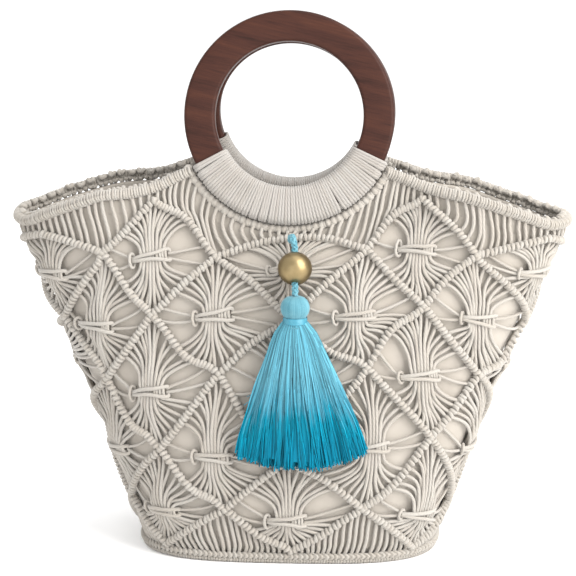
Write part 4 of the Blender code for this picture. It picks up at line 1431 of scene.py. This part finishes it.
WEAVE_THREADS = 12.0        # to the centimetre
STITCH_DOWN, STITCH_HALF_WIDTH = 0.009, 0.00045     # line of stitches under the lining's edge
STITCHES = 3.6              # to the centimetre


def lining_material():
    """Plain woven off-white lining cloth."""
    nodes = Nodes("lining cloth")
    across, along = nodes.uv_parts()
    warp, weft = (
        nodes.math("SINE", nodes.scaled(place, math.tau * WEAVE_THREADS)) for place in (across, along)
    )
    broad = nodes.noise(nodes.place, 22.0, 4.0)
    from_line = nodes.math("ABSOLUTE", nodes.math("SUBTRACT", nodes.tone(), STITCH_DOWN))
    line = nodes.math("LESS_THAN", from_line, STITCH_HALF_WIDTH)
    dashes = nodes.math("GREATER_THAN", nodes.math("FRACT", nodes.scaled(across, STITCHES)), 0.3)
    normal = nodes.bump(nodes.math("MULTIPLY", warp, weft), 0.00012, 0.7)
    normal = nodes.bump(broad, 0.0012, 0.5, Normal=normal)
    stitch = nodes.math("MULTIPLY", line, dashes)
    return nodes.finish(
        Base_Color=nodes.ramp(broad, (0.25, (0.372, 0.335, 0.291)), (0.75, (0.428, 0.392, 0.348))),
        Roughness=0.9, Sheen_Weight=0.15, Normal=nodes.bump(stitch, 0.0005, 1.0, Normal=normal),
    )


def wood_material():
    """Brown wood with long dark grain, satin finish."""
    nodes = Nodes("walnut wood")
    mapping = nodes.add(
        "ShaderNodeMapping", Vector=nodes.place, Rotation=(0.0, math.radians(13.0), 0.0),
        Scale=(1.0, 1.0 / 9.0, 1.0 / 15.0),
    )
    mapping.vector_type = "TEXTURE"
    stretched = mapping.outputs["Vector"]
    slow = nodes.noise(stretched, 9.0, 4.0, 0.6)
    fine = nodes.noise(stretched, 60.0, 5.0, 0.65)
    pores = nodes.noise(stretched, 190.0, 2.0, 0.5)
    colour = nodes.ramp(
        nodes.scaled(slow, 0.62, nodes.scaled(fine, 0.38)),
        (0.30, (0.014, 0.005, 0.003)), (0.46, (0.036, 0.012, 0.008)),
        (0.60, (0.050, 0.017, 0.010)), (0.76, (0.071, 0.026, 0.015)),
    )
    return nodes.finish(
        Base_Color=colour, Roughness=nodes.scaled(pores, 0.25, 0.33), Specular_IOR_Level=0.15,
        Normal=nodes.bump(pores, 0.00012, 0.5),
    )


def brass_material():
    """Brushed brass with fine level scratches."""
    nodes = Nodes("brushed brass")
    mapping = nodes.add("ShaderNodeMapping", Vector=nodes.place, Scale=(1.0, 1.0, 14.0))
    scratches = nodes.noise(mapping.outputs["Vector"], 260.0, 4.0, 0.7)
    broad = nodes.noise(nodes.place, 90.0)
    return nodes.finish(
        Base_Color=nodes.ramp(broad, (0.3, (0.229, 0.172, 0.087)), (0.7, (0.317, 0.246, 0.133))),
        Metallic=1.0, Roughness=nodes.scaled(scratches, 0.20, 0.24),
        Normal=nodes.bump(scratches, 0.00008, 0.6),
    )


THREAD_FUZZ = 2200.0        # how fine the fuzz on the blue threads is


def blue_material():
    """Light blue thread of the tassel's cord and head."""
    nodes = Nodes("light blue thread")
    broad = nodes.noise(nodes.place, 60.0)
    shade = nodes.scaled(broad, 0.55, nodes.scaled(nodes.tone(), 0.45))
    return nodes.finish(
        Base_Color=nodes.ramp(shade, (0.2, (0.032, 0.180, 0.239)), (0.8, (0.115, 0.307, 0.371))),
        Roughness=0.55, Sheen_Weight=0.3,
        Normal=nodes.bump(nodes.noise(nodes.place, THREAD_FUZZ, 2.0), 0.0001, 0.5),
    )


def binding_material():
    """Smooth shiny thread of the neck's binding."""
    nodes = Nodes("binding thread")
    broad = nodes.noise(nodes.place, 300.0)
    return nodes.finish(
        Base_Color=nodes.ramp(broad, (0.3, (0.038, 0.212, 0.297)), (0.7, (0.068, 0.272, 0.357))),
        Roughness=0.22, Normal=nodes.bump(broad, 0.0001, 0.3),
    )


DYE_LINE = 0.123            # height where light threads turn to the dark dye
DYE_SPREAD = 0.030
DYE_RAGGED, DYE_WAVY = 0.024, 0.020     # how far single threads and broad waves shift that line


def dyed_material():
    """Threads dip-dyed from light sky blue to deep turquoise."""
    nodes = Nodes("dip dyed thread")
    split = nodes.add("ShaderNodeSeparateXYZ", Vector=nodes.place)
    tone = nodes.tone()
    height = nodes.scaled(tone, DYE_RAGGED, split.outputs["Z"])
    height = nodes.scaled(nodes.noise(nodes.place, 70.0), DYE_WAVY, height)
    share = nodes.math("SUBTRACT", height, DYE_LINE - DYE_SPREAD / 2.0)
    colour = nodes.ramp(
        nodes.math("DIVIDE", share, DYE_SPREAD * 1.6),
        (0.10, (0.000, 0.172, 0.269)), (0.42, (0.000, 0.225, 0.328)),
        (0.60, (0.060, 0.265, 0.361)), (1.00, (0.105, 0.319, 0.407)),
    )
    streak = nodes.math("FRACT", nodes.scaled(tone, 7.31))
    shade = nodes.add(
        "ShaderNodeHueSaturation", Color=colour, Value=nodes.scaled(streak, 1.05, 0.42),
    )
    return nodes.finish(
        Base_Color=shade.outputs["Color"], Roughness=0.55, Specular_IOR_Level=0.12,
        Normal=nodes.bump(nodes.noise(nodes.place, THREAD_FUZZ, 2.0), 0.0001, 0.5),
    )


def base_material():
    """Plain stiff panel under the bag, covered in the lining's cloth."""
    nodes = Nodes("base cloth")
    weave = nodes.noise(nodes.place, 900.0)
    return nodes.finish(
        Base_Color=nodes.ramp(weave, (0.3, (0.50, 0.45, 0.37)), (0.7, (0.58, 0.53, 0.45))),
        Roughness=0.9, Normal=nodes.bump(weave, 0.0002, 0.5),
    )


def floor_material():
    nodes = Nodes("pale floor")
    soft = nodes.noise(nodes.place, 2.0, 2.0)
    colour = nodes.ramp(soft, (0.0, (0.95, 0.95, 0.95)), (1.0, (0.97, 0.97, 0.97)))
    return nodes.finish(Base_Color=colour, Roughness=0.9)


# Floor and light
FLOOR_SIZE = 8.0
WORLD_LIGHT = 1.15
LIGHT_TARGET = (0.0, 0.0, 0.18)
LIGHTS = (      # name, place, width, height, watts, colour
    ("key", (1.4, -1.0, 1.2), 1.5, 2.2, 69.0, (1.0, 0.985, 0.96)),
    ("top", (0.3, -0.1, 1.7), 1.2, 1.2, 5.0, (1.0, 1.0, 1.0)),
    ("front", (-0.3, -2.2, 0.6), 2.0, 1.6, 9.0, (1.0, 1.0, 1.0)),
    ("behind", (-0.9, 1.5, 1.1), 1.8, 1.8, 12.0, (1.0, 1.0, 1.0)),
)


def make_floor():
    mesh = bpy.data.meshes.new("floor")
    corners = ((-1, -1), (1, -1), (1, 1), (-1, 1))
    mesh.from_pydata([(x * FLOOR_SIZE, y * FLOOR_SIZE, 0.0) for x, y in corners], [], [(0, 1, 2, 3)])
    item = bpy.data.objects.new("floor", mesh)
    item.data.materials.append(floor_material())
    bpy.context.scene.collection.objects.link(item)


def add_light(name, place, width, height, watts, colour):
    data = bpy.data.lights.new(name, "AREA")
    data.shape = "RECTANGLE"
    data.size = width
    data.size_y = height
    data.energy = watts
    data.color = colour
    light = bpy.data.objects.new(name, data)
    light.location = place
    aim = Vector(LIGHT_TARGET) - Vector(place)
    light.rotation_euler = aim.to_track_quat("-Z", "Y").to_euler()
    bpy.context.scene.collection.objects.link(light)


def make_light():
    world = bpy.data.worlds.new("studio")
    world.use_nodes = True
    background = world.node_tree.nodes["Background"]
    background.inputs["Color"].default_value = (1.0, 1.0, 1.0, 1.0)
    background.inputs["Strength"].default_value = WORLD_LIGHT
    bpy.context.scene.world = world
    bpy.context.scene.view_settings.view_transform = "Standard"
    for light in LIGHTS:
        add_light(*light)


make_camera()
cotton = cotton_material("cotton cord", COTTON_SHADES)
# darker copy of the cotton for the wound handle cord: painted shade
wound_cotton_with_painted_shade = cotton_material("wound cotton cord with painted shade", WOUND_PAINTED_SHADE_COLOURS)
light_blue = blue_material()
make_blue_cord(light_blue)
make_net(cotton)
make_rim("rim_right", 1.0, cotton)
make_rim("rim_left", -1.0, cotton)
make_bottom_band(cotton)
walnut = wood_material()
for side, place in ((FRONT, "front"), (BACK, "back")):
    make_ring(f"handle_ring_{place}", side, walnut)
    make_handle_wrap(f"handle_wrap_{place}", side, wound_cotton_with_painted_shade)
    make_hitch_band(f"hitch_band_{place}", side, cotton)
make_lining(lining_material())
make_bead(brass_material())
make_head(light_blue)
make_binding(binding_material())
dyed = dyed_material()
make_skirt(dyed)
make_filling(dyed)
base_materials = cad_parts["base_panel"].data.materials
base_materials.clear()
base_materials.append(base_material())
make_floor()
make_light()
